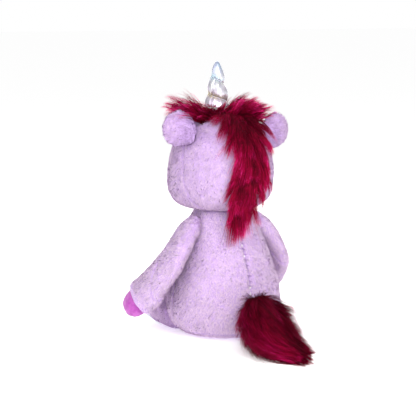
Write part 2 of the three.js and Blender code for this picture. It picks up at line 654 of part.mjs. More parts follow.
// ---- tail ----
function tail(scale, from) {
  const stations = TAIL.slice(from);
  return loft(
    stations.map(([[x, y, z], halfWidth, halfHeight]) =>
      Array.from({ length: 20 }, (_, k) => {
        const turn = (k / 20) * 2 * Math.PI;
        const across = x + halfWidth * scale * Math.cos(turn);
        return new THREE.Vector3(across, y, z + halfHeight * scale * Math.sin(turn));
      }),
    ),
  );
}
const corePath = new THREE.CatmullRomCurve3(TAIL.slice(0, 4).map(([at]) => vec(at)));
const coreSizes = (inset) => (share) => [7 - 4 * share + inset, 6 - 3.5 * share + inset];
const UP = new THREE.Vector3(0, 0, 1);
const core = (clear) =>
  ovalTube(corePath, coreSizes(clear), UP, { steps: 6, sides: 12, ends: [clear, clear] });
const coreWay = rod(vec([0, 91, 45.2]), vec([0, 97, 43.8]), 7.5, 14);
piece("tail_fur", tail(1, 0).subtract(core(GAP)).subtract(coreWay), "crimson");
piece("tail_core", core(0), "fill");
const [tabRoot, tabEnd] = [TAIL_TAB.from, TAIL_TAB.to].map((y) => TAIL_PIVOT.clone().setY(y));
piece("tail_tab", rod(tabRoot, tabEnd, TAIL_TAB.r, 14), "thread");

export default toy;
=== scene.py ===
"""Looks of the seated plush unicorn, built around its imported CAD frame.

The row frame is in metres: +Z up, the face looks along -Y, and the toy's left is +X.
Each sewn part is a skin blown up between its seams, and a pile of real fibres stands on it.
"""

import json
import math

import bmesh  # noqa: E402
import bpy  # noqa: E402
import numpy as np  # noqa: E402
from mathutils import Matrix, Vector  # noqa: E402
from mathutils.bvhtree import BVHTree  # noqa: E402

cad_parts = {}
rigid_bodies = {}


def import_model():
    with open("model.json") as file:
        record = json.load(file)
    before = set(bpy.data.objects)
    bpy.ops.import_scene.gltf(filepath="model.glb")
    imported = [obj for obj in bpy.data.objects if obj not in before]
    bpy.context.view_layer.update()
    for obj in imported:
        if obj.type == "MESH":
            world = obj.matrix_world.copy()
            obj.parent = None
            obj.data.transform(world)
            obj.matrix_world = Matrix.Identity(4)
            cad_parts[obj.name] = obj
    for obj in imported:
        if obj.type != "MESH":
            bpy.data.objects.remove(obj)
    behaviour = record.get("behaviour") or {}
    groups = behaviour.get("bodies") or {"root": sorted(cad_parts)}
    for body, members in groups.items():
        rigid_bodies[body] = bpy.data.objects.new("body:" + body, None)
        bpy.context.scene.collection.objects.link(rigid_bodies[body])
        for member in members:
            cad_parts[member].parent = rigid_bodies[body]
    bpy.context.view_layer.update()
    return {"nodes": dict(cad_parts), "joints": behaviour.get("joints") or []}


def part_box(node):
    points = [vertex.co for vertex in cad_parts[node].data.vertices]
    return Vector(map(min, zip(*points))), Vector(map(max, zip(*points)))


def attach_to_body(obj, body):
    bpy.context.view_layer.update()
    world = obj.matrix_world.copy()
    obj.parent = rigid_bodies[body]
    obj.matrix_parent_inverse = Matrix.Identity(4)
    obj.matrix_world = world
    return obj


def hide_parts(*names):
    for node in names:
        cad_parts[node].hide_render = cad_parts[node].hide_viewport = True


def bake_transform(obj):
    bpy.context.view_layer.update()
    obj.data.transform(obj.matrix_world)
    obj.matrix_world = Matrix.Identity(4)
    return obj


MM = 0.001

# ---- camera, before anything else ----
AZIMUTH, ELEVATION = math.radians(152), math.radians(8)
DISTANCE = 1.8
FRAME_WIDTH = 0.52  # what the picture spans at the toy's axis
SENSOR = 36
AXIS_RIGHT = 19.4 * MM  # where the toy's axis lies from the middle of the picture
AXIS_DOWN = 6.3 * MM
AXIS_HEIGHT = 150 * MM


def add_camera():
    back = Vector((
        math.sin(AZIMUTH) * math.cos(ELEVATION),
        -math.cos(AZIMUTH) * math.cos(ELEVATION),
        math.sin(ELEVATION),
    ))
    right = Vector((0, 0, 1)).cross(back).normalized()
    up = back.cross(right)
    target = Vector((0, 0, AXIS_HEIGHT)) - right * AXIS_RIGHT + up * AXIS_DOWN
    data = bpy.data.cameras.new("camera")
    data.sensor_width = SENSOR
    data.lens = SENSOR * DISTANCE / FRAME_WIDTH
    camera = bpy.data.objects.new("camera", data)
    camera.location = target + back * DISTANCE
    camera.rotation_euler = back.to_track_quat("Z", "Y").to_euler()
    bpy.context.scene.collection.objects.link(camera)
    bpy.context.scene.camera = camera
    return back, right


for old in list(bpy.data.objects):
    bpy.data.objects.remove(old)
BACK, RIGHT = add_camera()
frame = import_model()
PIVOTS = {joint["name"]: Vector(joint["pos_m"]) for joint in frame["joints"]}


# ---- materials ----
def srgb(red, green, blue):
    """A colour as it shows on a screen, 0 to 255, as a linear colour."""
    def linear(value):
        value /= 255
        return value / 12.92 if value <= 0.04045 else ((value + 0.055) / 1.055) ** 2.4
    return (linear(red), linear(green), linear(blue), 1)


def shader_of(material):
    return material.node_tree.nodes["Principled BSDF"]


def set_inputs(node, values):
    for key, value in values.items():
        node.inputs[key].default_value = value


def noise_node(tree, place, scale):
    node = tree.nodes.new("ShaderNodeTexNoise")
    set_inputs(node, {"Scale": scale, "Detail": 4})
    tree.links.new(place.outputs["Object"], node.inputs["Vector"])
    return node


def plain(name, colour, roughness=0.9, sheen=0.0, specular=0.3, metallic=0.0):
    """A material with the same value all over, set on the shader's own sockets."""
    material = bpy.data.materials.new(name)
    material.use_nodes = True
    set_inputs(shader_of(material), {
        "Base Color": colour, "Roughness": roughness, "Metallic": metallic,
        "Specular IOR Level": specular, "Sheen Weight": sheen, "Sheen Roughness": 0.5,
    })
    return material


def add_relief(material, scale, strength, depth=0.6 * MM):
    """A fine noise bump on a material."""
    tree = material.node_tree
    place = tree.nodes.new("ShaderNodeTexCoord")
    grain = noise_node(tree, place, scale)
    relief = tree.nodes.new("ShaderNodeBump")
    set_inputs(relief, {"Strength": strength, "Distance": depth})
    tree.links.new(grain.outputs["Fac"], relief.inputs["Height"])
    tree.links.new(relief.outputs["Normal"], shader_of(material).inputs["Normal"])
    return place


def mottled(name, low, high, scale, bump_scale, bump, **finish):
    """A cloth whose colour drifts between two shades, with a fine bump."""
    material = plain(name, high, **finish)
    tree = material.node_tree
    place = add_relief(material, bump_scale, bump)
    patches = noise_node(tree, place, scale)
    ramp = tree.nodes.new("ShaderNodeValToRGB")
    for element, position, colour in zip(ramp.color_ramp.elements, (0.35, 0.65), (low, high)):
        element.position, element.color = position, colour
    tree.links.new(patches.outputs["Fac"], ramp.inputs["Fac"])
    tree.links.new(ramp.outputs["Color"], shader_of(material).inputs["Base Color"])
    return material


def painted(name, roughness, metallic, crinkle):
    """Foil-faced cloth whose colour comes from the mesh's own tint attribute."""
    material = plain(name, srgb(230, 230, 238), roughness=roughness, specular=0.6, metallic=metallic)
    tree = material.node_tree
    set_inputs(shader_of(material), {"Coat Weight": 0.35, "Coat Roughness": 0.1})
    add_relief(material, 520, crinkle, 0.4 * MM)
    tint = tree.nodes.new("ShaderNodeAttribute")
    tint.attribute_name = "tint"
    tree.links.new(tint.outputs["Color"], shader_of(material).inputs["Base Color"])
    return material


def tint(mesh, colours):
    layer = mesh.color_attributes.new("tint", "FLOAT_COLOR", "POINT")
    layer.data.foreach_set("color", colours.ravel())


LAVENDER = (240, 216, 240)
LINING = (246, 206, 236)


def shade(colour, share):
    """A darker shade: deep in the pile a colour also gets purer, because light bounces between fibres."""
    red, green, blue = colour
    return srgb(min(255, red * share), min(255, green * share ** 1.3), min(255, blue * share ** 0.75))


def pile_shades(name, colour, shares):
    return [
        plain(f"{name}_{i}", shade(colour, share), roughness=1.0, specular=0.1)
        for i, share in enumerate(shares)
    ]


# Backing cloth, lavender and lining: its colour is set darker and more purple than the pile above it, as
# painted shade where it shows between the fibres and in creases.
skin_cloth = mottled("lavender_backing", srgb(192, 158, 214), srgb(208, 176, 228), 90, 700, 0.5, sheen=0.3)
lining_skin = mottled("lining_backing", shade(LINING, 0.86), shade(LINING, 0.94), 90, 700, 0.5, sheen=0.3)
# Lit and shaded copies of each pile colour: the random tone picks among the lighter ones, and the darker
# ones are painted shade along seams, on the head, the legs and the ears.
lavender_pile = pile_shades("lavender_pile", LAVENDER, (1.0, 0.975, 0.945, 0.9, 0.82, 0.72))
lining_pile = pile_shades("lining_pile", LINING, (1.0, 0.98, 0.955, 0.92, 0.86, 0.78))
SHADE_STEPS = (-3.4, -2.2, -1.1, -0.2, 0.8)  # between which tones the shades change, darkest first
# painted shade: how much the pile is darkened in the seam grooves
SEAM_PAINTED_SHADE = 2.6
# Lit and shaded copies of the crimson fur: the root shade is painted shade, and the bright and tip shades
# are painted light.
crimson_shades = [
    plain("crimson_root", srgb(78, 0, 20), roughness=0.7, specular=0.05),
    plain("crimson_middle", srgb(132, 2, 40), roughness=0.7, specular=0.05),
    plain("crimson_bright", srgb(178, 4, 74), roughness=0.65, specular=0.08),
    plain("crimson_tip", srgb(238, 46, 138), roughness=0.65, specular=0.1),
]
orchid_cloth = mottled(
    "orchid_cloth", srgb(160, 62, 158), srgb(188, 88, 184), 160, 1400, 0.35, roughness=0.7, sheen=0.35
)
fill_fibre = mottled("fill_fibre", srgb(232, 230, 224), srgb(250, 249, 246), 140, 300, 0.8, roughness=1.0)
pouch_cloth = mottled("pouch_cloth", srgb(214, 208, 192), srgb(232, 226, 212), 60, 900, 0.6, roughness=0.9)
lavender_thread = mottled(
    "lavender_thread", srgb(136, 98, 164), srgb(154, 116, 182), 500, 2600, 0.5, roughness=0.65, sheen=0.2
)
silver_thread = mottled(
    "silver_thread", srgb(194, 188, 206), srgb(214, 208, 224), 500, 2600, 0.4, roughness=0.4, specular=0.5
)
plum_thread = mottled(
    "plum_thread", srgb(128, 74, 158), srgb(150, 94, 180), 500, 2600, 0.4,
    roughness=0.5, sheen=0.3, specular=0.45,
)
eye_plastic = mottled(
    "eye_plastic", srgb(18, 8, 26), srgb(32, 16, 42), 260, 900, 0.02, roughness=0.06, specular=0.6
)
washer_plastic = mottled(
    "washer_plastic", srgb(226, 226, 228), srgb(240, 240, 242), 200, 900, 0.1, roughness=0.4
)
crimson_cloth = mottled(
    "crimson_cloth", srgb(66, 0, 18), srgb(96, 2, 28), 120, 900, 0.6, roughness=0.8, sheen=0.2
)
horn_foil = painted("horn_foil", 0.26, 0.6, 0.15)
foot_foil = painted("foot_foil", 0.28, 0.5, 0.3)


# ---- mesh helpers ----
def link(name, mesh, *materials):
    piece = bpy.data.objects.new(name, mesh)
    bpy.context.scene.collection.objects.link(piece)
    for material in materials:
        mesh.materials.append(material)
    return piece


def smooth_faces(mesh):
    for polygon in mesh.polygons:
        polygon.use_smooth = True


def mesh_from(bm, name):
    mesh = bpy.data.meshes.new(name)
    bm.to_mesh(mesh)
    bm.free()
    return mesh


def cut_away(bm, point, direction):
    bmesh.ops.bisect_plane(
        bm, geom=bm.verts[:] + bm.edges[:] + bm.faces[:], dist=1e-6,
        plane_co=point, plane_no=direction, clear_outer=True,
    )


def middle_of(node):
    return sum(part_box(node), Vector()) / 2


def from_point(points, centre):
    return np.linalg.norm(points - np.array(centre), axis=1)


def discard(piece):
    mesh = piece.data
    bpy.data.objects.remove(piece)
    bpy.data.meshes.remove(mesh)


def cad_points(*nodes):
    return np.concatenate([
        np.array([v.co for v in frame["nodes"][node].data.vertices]) for node in nodes
    ])


def vectors_of(items, key):
    found = np.empty(len(items) * 3)
    items.foreach_get(key, found)
    return found.reshape(-1, 3)


def coordinates(mesh):
    return vectors_of(mesh.vertices, "co")


def normals_of(mesh):
    return vectors_of(mesh.vertex_normals, "vector")


def put_back(mesh, points):
    mesh.vertices.foreach_set("co", points.ravel())
    mesh.update()


def settle(piece, *modifiers):
    """Runs modifiers, given as (type, settings), and keeps their result as the piece's mesh."""
    for kind, settings in modifiers:
        modifier = piece.modifiers.new(kind.lower(), kind)
        for key, value in settings.items():
            setattr(modifier, key, value)
    depsgraph = bpy.context.evaluated_depsgraph_get()
    mesh = bpy.data.meshes.new_from_object(piece.evaluated_get(depsgraph))
    piece.modifiers.clear()
    old = piece.data
    piece.data = mesh
    bpy.data.meshes.remove(old)
    smooth_faces(mesh)
    return piece


def remeshed(name, bm, material, voxel, smooth):
    """An even, softened closed skin made from a mesh."""
    return settle(
        link(name, mesh_from(bm, name), material),
        ("REMESH", {"mode": "VOXEL", "voxel_size": voxel}),
        ("SMOOTH", {"factor": 0.5, "iterations": smooth}),
    )


def hull(name, points, material, voxel, smooth=6):
    """A smooth closed skin round a cloud of points."""
    bm = bmesh.new()
    for point in points:
        bm.verts.new(point)
    found = bmesh.ops.convex_hull(bm, input=bm.verts)
    loose = [g for g in found["geom_interior"] + found["geom_unused"] if isinstance(g, bmesh.types.BMVert)]
    bmesh.ops.delete(bm, geom=list(set(loose)), context="VERTS")
    return remeshed(name, bm, material, voxel, smooth)


def joined(name, nodes, material, voxel, smooth=5):
    """One closed skin round several CAD nodes that sit inside each other."""
    bm = bmesh.new()
    for node in nodes:
        bm.from_mesh(frame["nodes"][node].data)
    return remeshed(name, bm, material, voxel, smooth)


CLOTH_FRAMES = 18
CLOTH_PRESSURE = 4


def inflate(piece, held, reach):
    """Blows cloth up from inside with its seams held, and keeps the puckers but not the growth."""
    start, normal = coordinates(piece.data), normals_of(piece.data)
    group = piece.vertex_groups.new(name="seams")
    for index, weight in enumerate(np.clip(held(start), 0, 1)):
        if weight > 0.02:
            group.add([index], float(weight), "REPLACE")
    cloth = piece.modifiers.new("cloth", "CLOTH")
    cloth.point_cache.frame_end = CLOTH_FRAMES
    settings = cloth.settings
    settings.vertex_group_mass = "seams"
    settings.use_pressure = True
    settings.uniform_pressure_force = CLOTH_PRESSURE
    settings.effector_weights.gravity = 0
    settings.quality = 4
    scene = bpy.context.scene
    for step in range(1, CLOTH_FRAMES + 1):
        scene.frame_set(step)
    depsgraph = bpy.context.evaluated_depsgraph_get()
    blown = piece.evaluated_get(depsgraph)
    moved = coordinates(blown.to_mesh()) - start
    blown.to_mesh_clear()
    piece.modifiers.clear()
    piece.vertex_groups.clear()
    scene.frame_set(1)
    length = np.linalg.norm(moved, axis=1, keepdims=True)
    moved *= np.minimum(1, reach / (length + 1e-9))
    growth = (moved * normal).sum(axis=1).mean()
    put_back(piece.data, start + moved - normal * growth)


def refine(piece):
    return settle(piece, ("SUBSURF", {"levels": 1}))


def push_in(piece, depth):
    """Moves a skin inwards by a depth, one number or one for each vertex."""
    depth = np.broadcast_to(np.asarray(depth, float), len(piece.data.vertices))
    put_back(piece.data, coordinates(piece.data) - normals_of(piece.data) * depth[:, None])


def panels(skin, parts, thickness=1.6 * MM):
    """Cuts a skin along planes into cloth panels. Each part has (point, outward direction) cuts."""
    made = {}
    for name, cuts in parts.items():
        bm = bmesh.new()
        bm.from_mesh(skin.data)
        for point, direction in cuts:
            cut_away(bm, point, direction)
        piece = link(name, mesh_from(bm, name), *skin.data.materials)
        made[name] = settle(piece, ("SOLIDIFY", {"thickness": thickness, "offset": -1}))
    return made


def open_end(skin, point, direction, turn_in, sink):
    """Cuts a skin open across a plane, and turns the cut edge in as a flat hem."""
    bm = bmesh.new()
    bm.from_mesh(skin.data)
    cut_away(bm, point, direction)
    rim = [edge for edge in bm.edges if edge.is_boundary]
    made = bmesh.ops.extrude_edge_only(bm, edges=rim)
    inner = [g for g in made["geom"] if isinstance(g, bmesh.types.BMVert)]
    middle = sum((v.co for v in inner), Vector()) / len(inner)
    for vert in inner:
        vert.co = middle + (vert.co - middle) * turn_in - direction * sink
    bm.normal_update()
    bm.to_mesh(skin.data)
    bm.free()
    skin.data.update()
    smooth_faces(skin.data)


def ripples(points, wavelength, seed, waves=9):
    """Smooth noise of about unit size, as a sum of sine waves in seeded directions."""
    rng = np.random.default_rng(seed)
    total = np.zeros(len(points))
    for _ in range(waves):
        way = rng.normal(size=3)
        way *= 2 * math.pi / (wavelength * rng.uniform(0.7, 1.6) * np.linalg.norm(way))
        total += np.sin(points @ way + rng.uniform(0, 2 * math.pi))
    return total / math.sqrt(waves)


def valley(distance, width):
    return np.exp(-((distance / width) ** 2))


def unit(vectors):
    return vectors / (np.linalg.norm(vectors, axis=-1, keepdims=True) + 1e-12)


def above(points, least):
    """Keeps points from going lower than a height."""
    points[..., 2] = np.maximum(points[..., 2], least)
    return points


def stuffed(node, depth, seed):
    """Lumpy fibre filling that stays a little inside the cloth round it."""
    filling = joined(f"{node}_fibre", [node], fill_fibre, 3.2 * MM, smooth=3)
    lumps = (1 + ripples(coordinates(filling.data), 9 * MM, seed)).clip(0, 3)
    push_in(filling, depth + 0.5 * MM * lumps)
    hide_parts(node)
    return filling


# ---- fibres ----
def fibre_mesh(name, paths, widths, facing, normals, shades, materials):
    """Tapered ribbons along paths (fibre, point, 3). shades is a material number for each stretch."""
    count, points, _ = paths.shape
    along = np.gradient(paths, axis=1)
    side = unit(np.cross(along, facing[:, None, :]))
    share = np.linspace(0, 1, points)
    half = widths[:, None] * 0.5 * (1 - share ** 2)[None, :]
    per = 2 * (points - 1) + 1
    verts = np.empty((count, per, 3))
    verts[:, 0 : per - 1 : 2] = paths[:, :-1] - side[:, :-1] * half[:, :-1, None]
    verts[:, 1 : per - 1 : 2] = paths[:, :-1] + side[:, :-1] * half[:, :-1, None]
    verts[:, per - 1 :] = paths[:, -1:]
    one = []
    stretch = []
    for i in range(points - 2):
        a, b, c, d = 2 * i, 2 * i + 1, 2 * i + 3, 2 * i + 2
        one += [(a, b, c), (a, c, d)]
        stretch += [i, i]
    one.append((per - 3, per - 2, per - 1))
    stretch.append(points - 2)
    faces = (np.array(one)[None] + (np.arange(count) * per)[:, None, None]).reshape(-1)
    mesh = bpy.data.meshes.new(name)
    mesh.vertices.add(count * per)
    mesh.vertices.foreach_set("co", verts.ravel())
    mesh.loops.add(len(faces))
    mesh.loops.foreach_set("vertex_index", faces)
    mesh.polygons.add(len(faces) // 3)
    mesh.polygons.foreach_set("loop_start", np.arange(0, len(faces), 3))
    mesh.polygons.foreach_set("material_index", shades[:, stretch].ravel())
    mesh.polygons.foreach_set("use_smooth", np.ones(len(faces) // 3, bool))
    mesh.update(calc_edges=True)
    mesh.normals_split_custom_set_from_vertices(np.repeat(normals, per, axis=0))
    return link(name, mesh, *materials)


def scatter(skin, spacing, rng, where=None):
    """Seeded points on a skin, one for each spacing squared, with their normals."""
    mesh = skin.data
    mesh.calc_loop_triangles()
    corners = np.empty(len(mesh.loop_triangles) * 3, np.int64)
    mesh.loop_triangles.foreach_get("vertices", corners)
    corners = corners.reshape(-1, 3)
    points, normals = coordinates(mesh), normals_of(mesh)
    a, b, c = (points[corners[:, i]] for i in range(3))
    area = 0.5 * np.linalg.norm(np.cross(b - a, c - a), axis=1)
    if where is not None:
        area = area * where((a + b + c) / 3, normals[corners].mean(axis=1))
    count = int(area.sum() / spacing ** 2)
    picked = rng.choice(len(area), count, p=area / area.sum())
    u, v = rng.random((2, count))
    flip = u + v > 1
    u[flip], v[flip] = 1 - u[flip], 1 - v[flip]
    weight = np.stack([1 - u - v, u, v], axis=1)[:, :, None]
    at = (points[corners[picked]] * weight).sum(axis=1)
    normal = (normals[corners[picked]] * weight).sum(axis=1)
    return at, unit(normal)


DOWN = np.array([0.0, 0.0, -1.0])
FLOOR_CLEAR = 0.2 * MM
FLOOR_GAP = 0.3 * MM  # between the floor and a skin
TAIL_FLOOR_GAP = 0.8 * MM
SEAM_BARE = 0.9 * MM  # nearer to a seam than this the pile is thinner
SEAM_SHORT = 2.2 * MM  # nearer to a seam than this it is shorter


def pile(name, skin, materials, seed, spacing=0.95 * MM, length=3.2 * MM, width=0.62 * MM, where=None,
         groom=None, trim=None, seams=None, dim=None):
    """Short plush pile: bent blades that lean as the cloth is brushed, thin and short along seams. Its
    shades are darkened along seams and by the painted shade it is given, as painted shade.
    """
    rng = np.random.default_rng(seed)
    at, normal = scatter(skin, spacing, rng, where)
    from_seam = np.full(len(at), 1.0) if seams is None else seams(at)
    kept = rng.random(len(at)) < np.clip(from_seam / SEAM_BARE, 0.1, 1)
    at, normal, from_seam = at[kept], normal[kept], from_seam[kept]
    count = len(at)
    flow = np.tile(DOWN, (count, 1)) if groom is None else groom(at)
    swirl = np.stack([ripples(at, 24 * MM, seed + k) for k in (1, 2, 3)], axis=1)
    tuft = np.stack([ripples(at, 6 * MM, seed + k) for k in (4, 5, 6)], axis=1)
    flow = flow + 0.25 * swirl + 0.2 * tuft + 0.4 * rng.normal(size=(count, 3))
    flow = unit(flow - (flow * normal).sum(axis=1, keepdims=True) * normal)
    tall = length * (0.88 + 0.05 * ripples(at, 7 * MM, seed + 7) + 0.2 * rng.random(count))
    tall *= np.where(rng.random(count) < 0.03, 1.35, 1)
    tall *= np.clip(from_seam / SEAM_SHORT, 0.4, 1)
    if trim is not None:
        tall *= trim(at)
    steps = np.linspace(0, 1, 3)[None, :, None]
    rise = normal * (tall * 0.66)[:, None]
    run = flow * (tall * 0.85)[:, None]
    paths = at[:, None] - normal[:, None] * 0.3 * MM
    paths = paths + rise[:, None] * (steps * 1.35 - 0.45 * steps ** 2) + run[:, None] * steps ** 1.5
    above(paths, FLOOR_CLEAR)
    facing = unit(normal + 0.45 * rng.normal(size=(count, 3)))
    shading = unit(normal + 0.14 * rng.normal(size=(count, 3)) + 0.15 * flow)
    tone = 0.35 * ripples(at, 8 * MM, seed + 8) + 0.25 * tuft[:, 0] + 0.65 * rng.normal(size=count)
    # painted shade in the seam grooves
    tone -= SEAM_PAINTED_SHADE * valley(from_seam, SEAM_SHORT * 0.7)
    # painted shade that the piece asks for
    if dim is not None:
        tone -= dim(at)
    levels = np.digitize(tone, SHADE_STEPS)
    shades = np.repeat((len(materials) - 1 - levels)[:, None], 2, axis=1)
    return fibre_mesh(name, paths, np.full(count, width), facing, shading, shades, materials)


def add_piles(skin, places, seed, attach, **looks):
    """Pile on each area of a skin, given as {piece name: area}."""
    for number, (name, where) in enumerate(places.items()):
        fibres = pile(name, skin, lavender_pile, seed + 10 * number, where=where, **looks)
        attach(fibres)


def add_panels(skin, cuts_of, attach):
    """A cloth panel for each CAD node, given as {node: cuts}."""
    for name, panel in panels(skin, {f"{node}_skin": cuts for node, cuts in cuts_of.items()}).items():
        attach(panel)
        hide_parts(name.removesuffix("_skin"))


# ---- torso ----
TORSO_NODES = ("torso_back_left", "torso_back_right", "torso_tummy", "seat_panel")
NECK_CENTRE = middle_of("neck_wad")
NECK_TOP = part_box("head_back_left")[0].z + 5 * MM
NECK_R = 35 * MM
SIDE_SEAM_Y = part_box("torso_back_left")[0].y
SEAT_SEAM_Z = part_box("seat_panel")[1].z
CLOSING_LOW, CLOSING_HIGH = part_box("closing_thread")[0].z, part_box("closing_thread")[1].z
STITCH = 6.2 * MM
PILE_ROOM = 1.7 * MM  # the skin lies this far inside the CAD surface, so that the pile ends at it
LEFT, FRONT, TOP = Vector((1, 0, 0)), Vector((0, -1, 0)), Vector((0, 0, 1))


def make_torso():
    ring = [
        (NECK_CENTRE.x + NECK_R * math.cos(a), NECK_CENTRE.y + NECK_R * math.sin(a), NECK_TOP)
        for a in np.linspace(0, 2 * math.pi, 24, endpoint=False)
    ]
    skin = hull("torso_skin", np.concatenate([cad_points(*TORSO_NODES), ring]), skin_cloth, 4.2 * MM)

    def held(points):
        x, y, z = points.T
        upright = valley(x, 4 * MM) * (y > 0) + valley(y - SIDE_SEAM_Y, 4 * MM)
        return upright + valley(z - SEAT_SEAM_Z, 4 * MM) + (z < 4 * MM) + (z > 140 * MM)

    inflate(skin, held, 5 * MM)
    refine(skin)
    points = coordinates(skin.data)
    x, y, z = points.T
    push = PILE_ROOM - 0.7 * MM * ripples(points, 34 * MM, 11) - 0.12 * MM * ripples(points, 12 * MM, 12)
    above_floor = np.clip((z - 2 * MM) / (14 * MM), 0, 1)
    behind = y > 0
    push += 1.9 * MM * valley(x, 2.6 * MM) * behind * above_floor
    push += 1.6 * MM * valley(y - SIDE_SEAM_Y, 2.4 * MM) * above_floor
    push += 1.1 * MM * valley(z - SEAT_SEAM_Z, 2.4 * MM) * (z < 30 * MM)
    stitches = 0.5 + 0.5 * np.cos(2 * math.pi * z / STITCH)
    closed = behind & (z > CLOSING_LOW) & (z < CLOSING_HIGH)
    push += 1.5 * MM * valley(x, 4.0 * MM) * stitches * closed
    push_in(skin, push * above_floor + 0.4 * MM)
    put_back(skin.data, above(coordinates(skin.data), FLOOR_GAP))
    return skin


torso = make_torso()
OFF_FLOOR = -0.93
TORSO_PILES = {
    "torso_back_left_pile": lambda p, n: (p[:, 1] > SIDE_SEAM_Y) & (p[:, 0] > 0) & (n[:, 2] > OFF_FLOOR),
    "torso_back_right_pile": lambda p, n: (p[:, 1] > SIDE_SEAM_Y) & (p[:, 0] <= 0) & (n[:, 2] > OFF_FLOOR),
    "torso_tummy_pile": lambda p, n: (p[:, 1] <= SIDE_SEAM_Y) & (n[:, 2] > OFF_FLOOR),
}


def torso_seams(at):
    """How far points lie from the nearest seam of the torso."""
    middle = np.where(at[:, 1] > 0, np.abs(at[:, 0]), 1)
    return np.minimum(np.minimum(middle, np.abs(at[:, 1] - SIDE_SEAM_Y)), np.abs(at[:, 2] - SEAT_SEAM_Z))


def on_torso(piece):
    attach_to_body(piece, "torso")


add_piles(torso, TORSO_PILES, 100, on_torso, seams=torso_seams)
ORIGIN = Vector((0, 0, 0))
SIDE, SEAT = Vector((0, SIDE_SEAM_Y, 0)), Vector((0, 0, SEAT_SEAM_Z))
TORSO_PANELS = {
    "torso_back_left": ((ORIGIN, -LEFT), (SIDE, FRONT), (SEAT, -TOP)),
    "torso_back_right": ((ORIGIN, LEFT), (SIDE, FRONT), (SEAT, -TOP)),
    "torso_tummy": ((SIDE, -FRONT), (SEAT, -TOP)),
    "seat_panel": ((SEAT, TOP),),
}
torso_surface = BVHTree.FromObject(torso, bpy.context.evaluated_depsgraph_get())
add_panels(torso, TORSO_PANELS, on_torso)
discard(torso)
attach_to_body(stuffed("torso_stuffing", 1.6 * MM, 150), "torso")


def thread_piece(name, strands, radius, material, body, node):
    """Round threads, each along a few points."""
    curve = bpy.data.curves.new(name, "CURVE")
    curve.dimensions = "3D"
    curve.bevel_depth = radius
    curve.bevel_resolution = 2
    curve.use_fill_caps = True
    for points in strands:
        spline = curve.splines.new("POLY")
        spline.points.add(len(points) - 1)
        for place, point in zip(spline.points, points):
            place.co = (*point, 1)
    piece = link(name, curve, material)
    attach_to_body(piece, body)
    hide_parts(*node)


def surface_behind(tree, x, z):
    return tree.ray_cast(Vector((x, 0.4, z)), Vector((0, -1, 0)))[0]


def make_closing():
    """Ladder stitches that draw the two edges of the back together."""
    strands = []
    for z in np.arange(CLOSING_LOW + STITCH / 2, CLOSING_HIGH, STITCH):
        strand = []
        for x, lift in ((-3.4, -0.4), (-1.7, 0.5), (0, 0.9), (1.7, 0.5), (3.4, -0.4)):
            at = surface_behind(torso_surface, x * MM, z + x * 0.25 * MM)
            strand.append(at + Vector((0, lift * MM, 0)))
        strands.append(strand)
    thread_piece(
        "closing_stitches", strands, 0.42 * MM, lavender_thread, "torso", ("closing_thread",)
    )


make_closing()

# ---- head ----
HEAD_NODES = ("head_back_left", "head_back_right", "face_left", "face_right")
HEAD_SEAM_LEAN = math.radians(13)
HEAD_SEAM = Vector((0, 7.5, 222)) * MM
HEAD_SEAM_WAY = Vector((0, math.cos(HEAD_SEAM_LEAN), math.sin(HEAD_SEAM_LEAN)))
EYES = {side: middle_of(f"eye_{side}") for side in ("left", "right")}


def behind_head_seam(points):
    """How far points lie behind the seam that goes over the head from side to side."""
    return (points - np.array(HEAD_SEAM)) @ np.array(HEAD_SEAM_WAY)


def make_head():
    skin = hull("head_skin", cad_points(*HEAD_NODES), skin_cloth, 4 * MM)

    def held(points):
        x, _, z = points.T
        seams = valley(behind_head_seam(points), 4 * MM) + valley(x, 4 * MM)
        for eye in EYES.values():
            seams += valley(from_point(points, eye), 9 * MM)
        return seams + (z < 162 * MM)

    inflate(skin, held, 4 * MM)
    refine(skin)
    points = coordinates(skin.data)
    x = points[:, 0]
    push = PILE_ROOM - 0.7 * MM * ripples(points, 38 * MM, 21) - 0.12 * MM * ripples(points, 12 * MM, 22)
    push += 1.5 * MM * valley(behind_head_seam(points), 1.7 * MM)
    push += 1.2 * MM * valley(x, 1.7 * MM)
    for eye in EYES.values():
        push += 2.2 * MM * valley(from_point(points, eye), 13 * MM)
    push_in(skin, push)
    return skin


# Painted shade: the head's pile is darkened more than the torso's, because the lamps light the head more.
HEAD_PAINTED_SHADE = 1.1  # how much deeper than the torso's the shade of the head's pile is
head = make_head()
HEAD_PILES = {
    "head_back_left_pile": lambda p, n: (behind_head_seam(p) > 0) & (p[:, 0] > 0),
    "head_back_right_pile": lambda p, n: (behind_head_seam(p) > 0) & (p[:, 0] <= 0),
    "face_left_pile": lambda p, n: (behind_head_seam(p) <= 0) & (p[:, 0] > 0),
    "face_right_pile": lambda p, n: (behind_head_seam(p) <= 0) & (p[:, 0] <= 0),
}


def head_seams(at):
    """How far points lie from the nearest seam of the head."""
    return np.minimum(np.abs(behind_head_seam(at)), np.abs(at[:, 0]))


def on_head(piece):
    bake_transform(piece)


add_piles(head, HEAD_PILES, 200, on_head, seams=head_seams, dim=lambda at: np.full(len(at), HEAD_PAINTED_SHADE))
HEAD_PANELS = {
    "head_back_left": ((ORIGIN, -LEFT), (HEAD_SEAM, -HEAD_SEAM_WAY)),
    "head_back_right": ((ORIGIN, LEFT), (HEAD_SEAM, -HEAD_SEAM_WAY)),
    "face_left": ((ORIGIN, -LEFT), (HEAD_SEAM, HEAD_SEAM_WAY)),
    "face_right": ((ORIGIN, LEFT), (HEAD_SEAM, HEAD_SEAM_WAY)),
}
add_panels(head, HEAD_PANELS, on_head)
on_head(stuffed("head_stuffing", 1.8 * MM, 250))


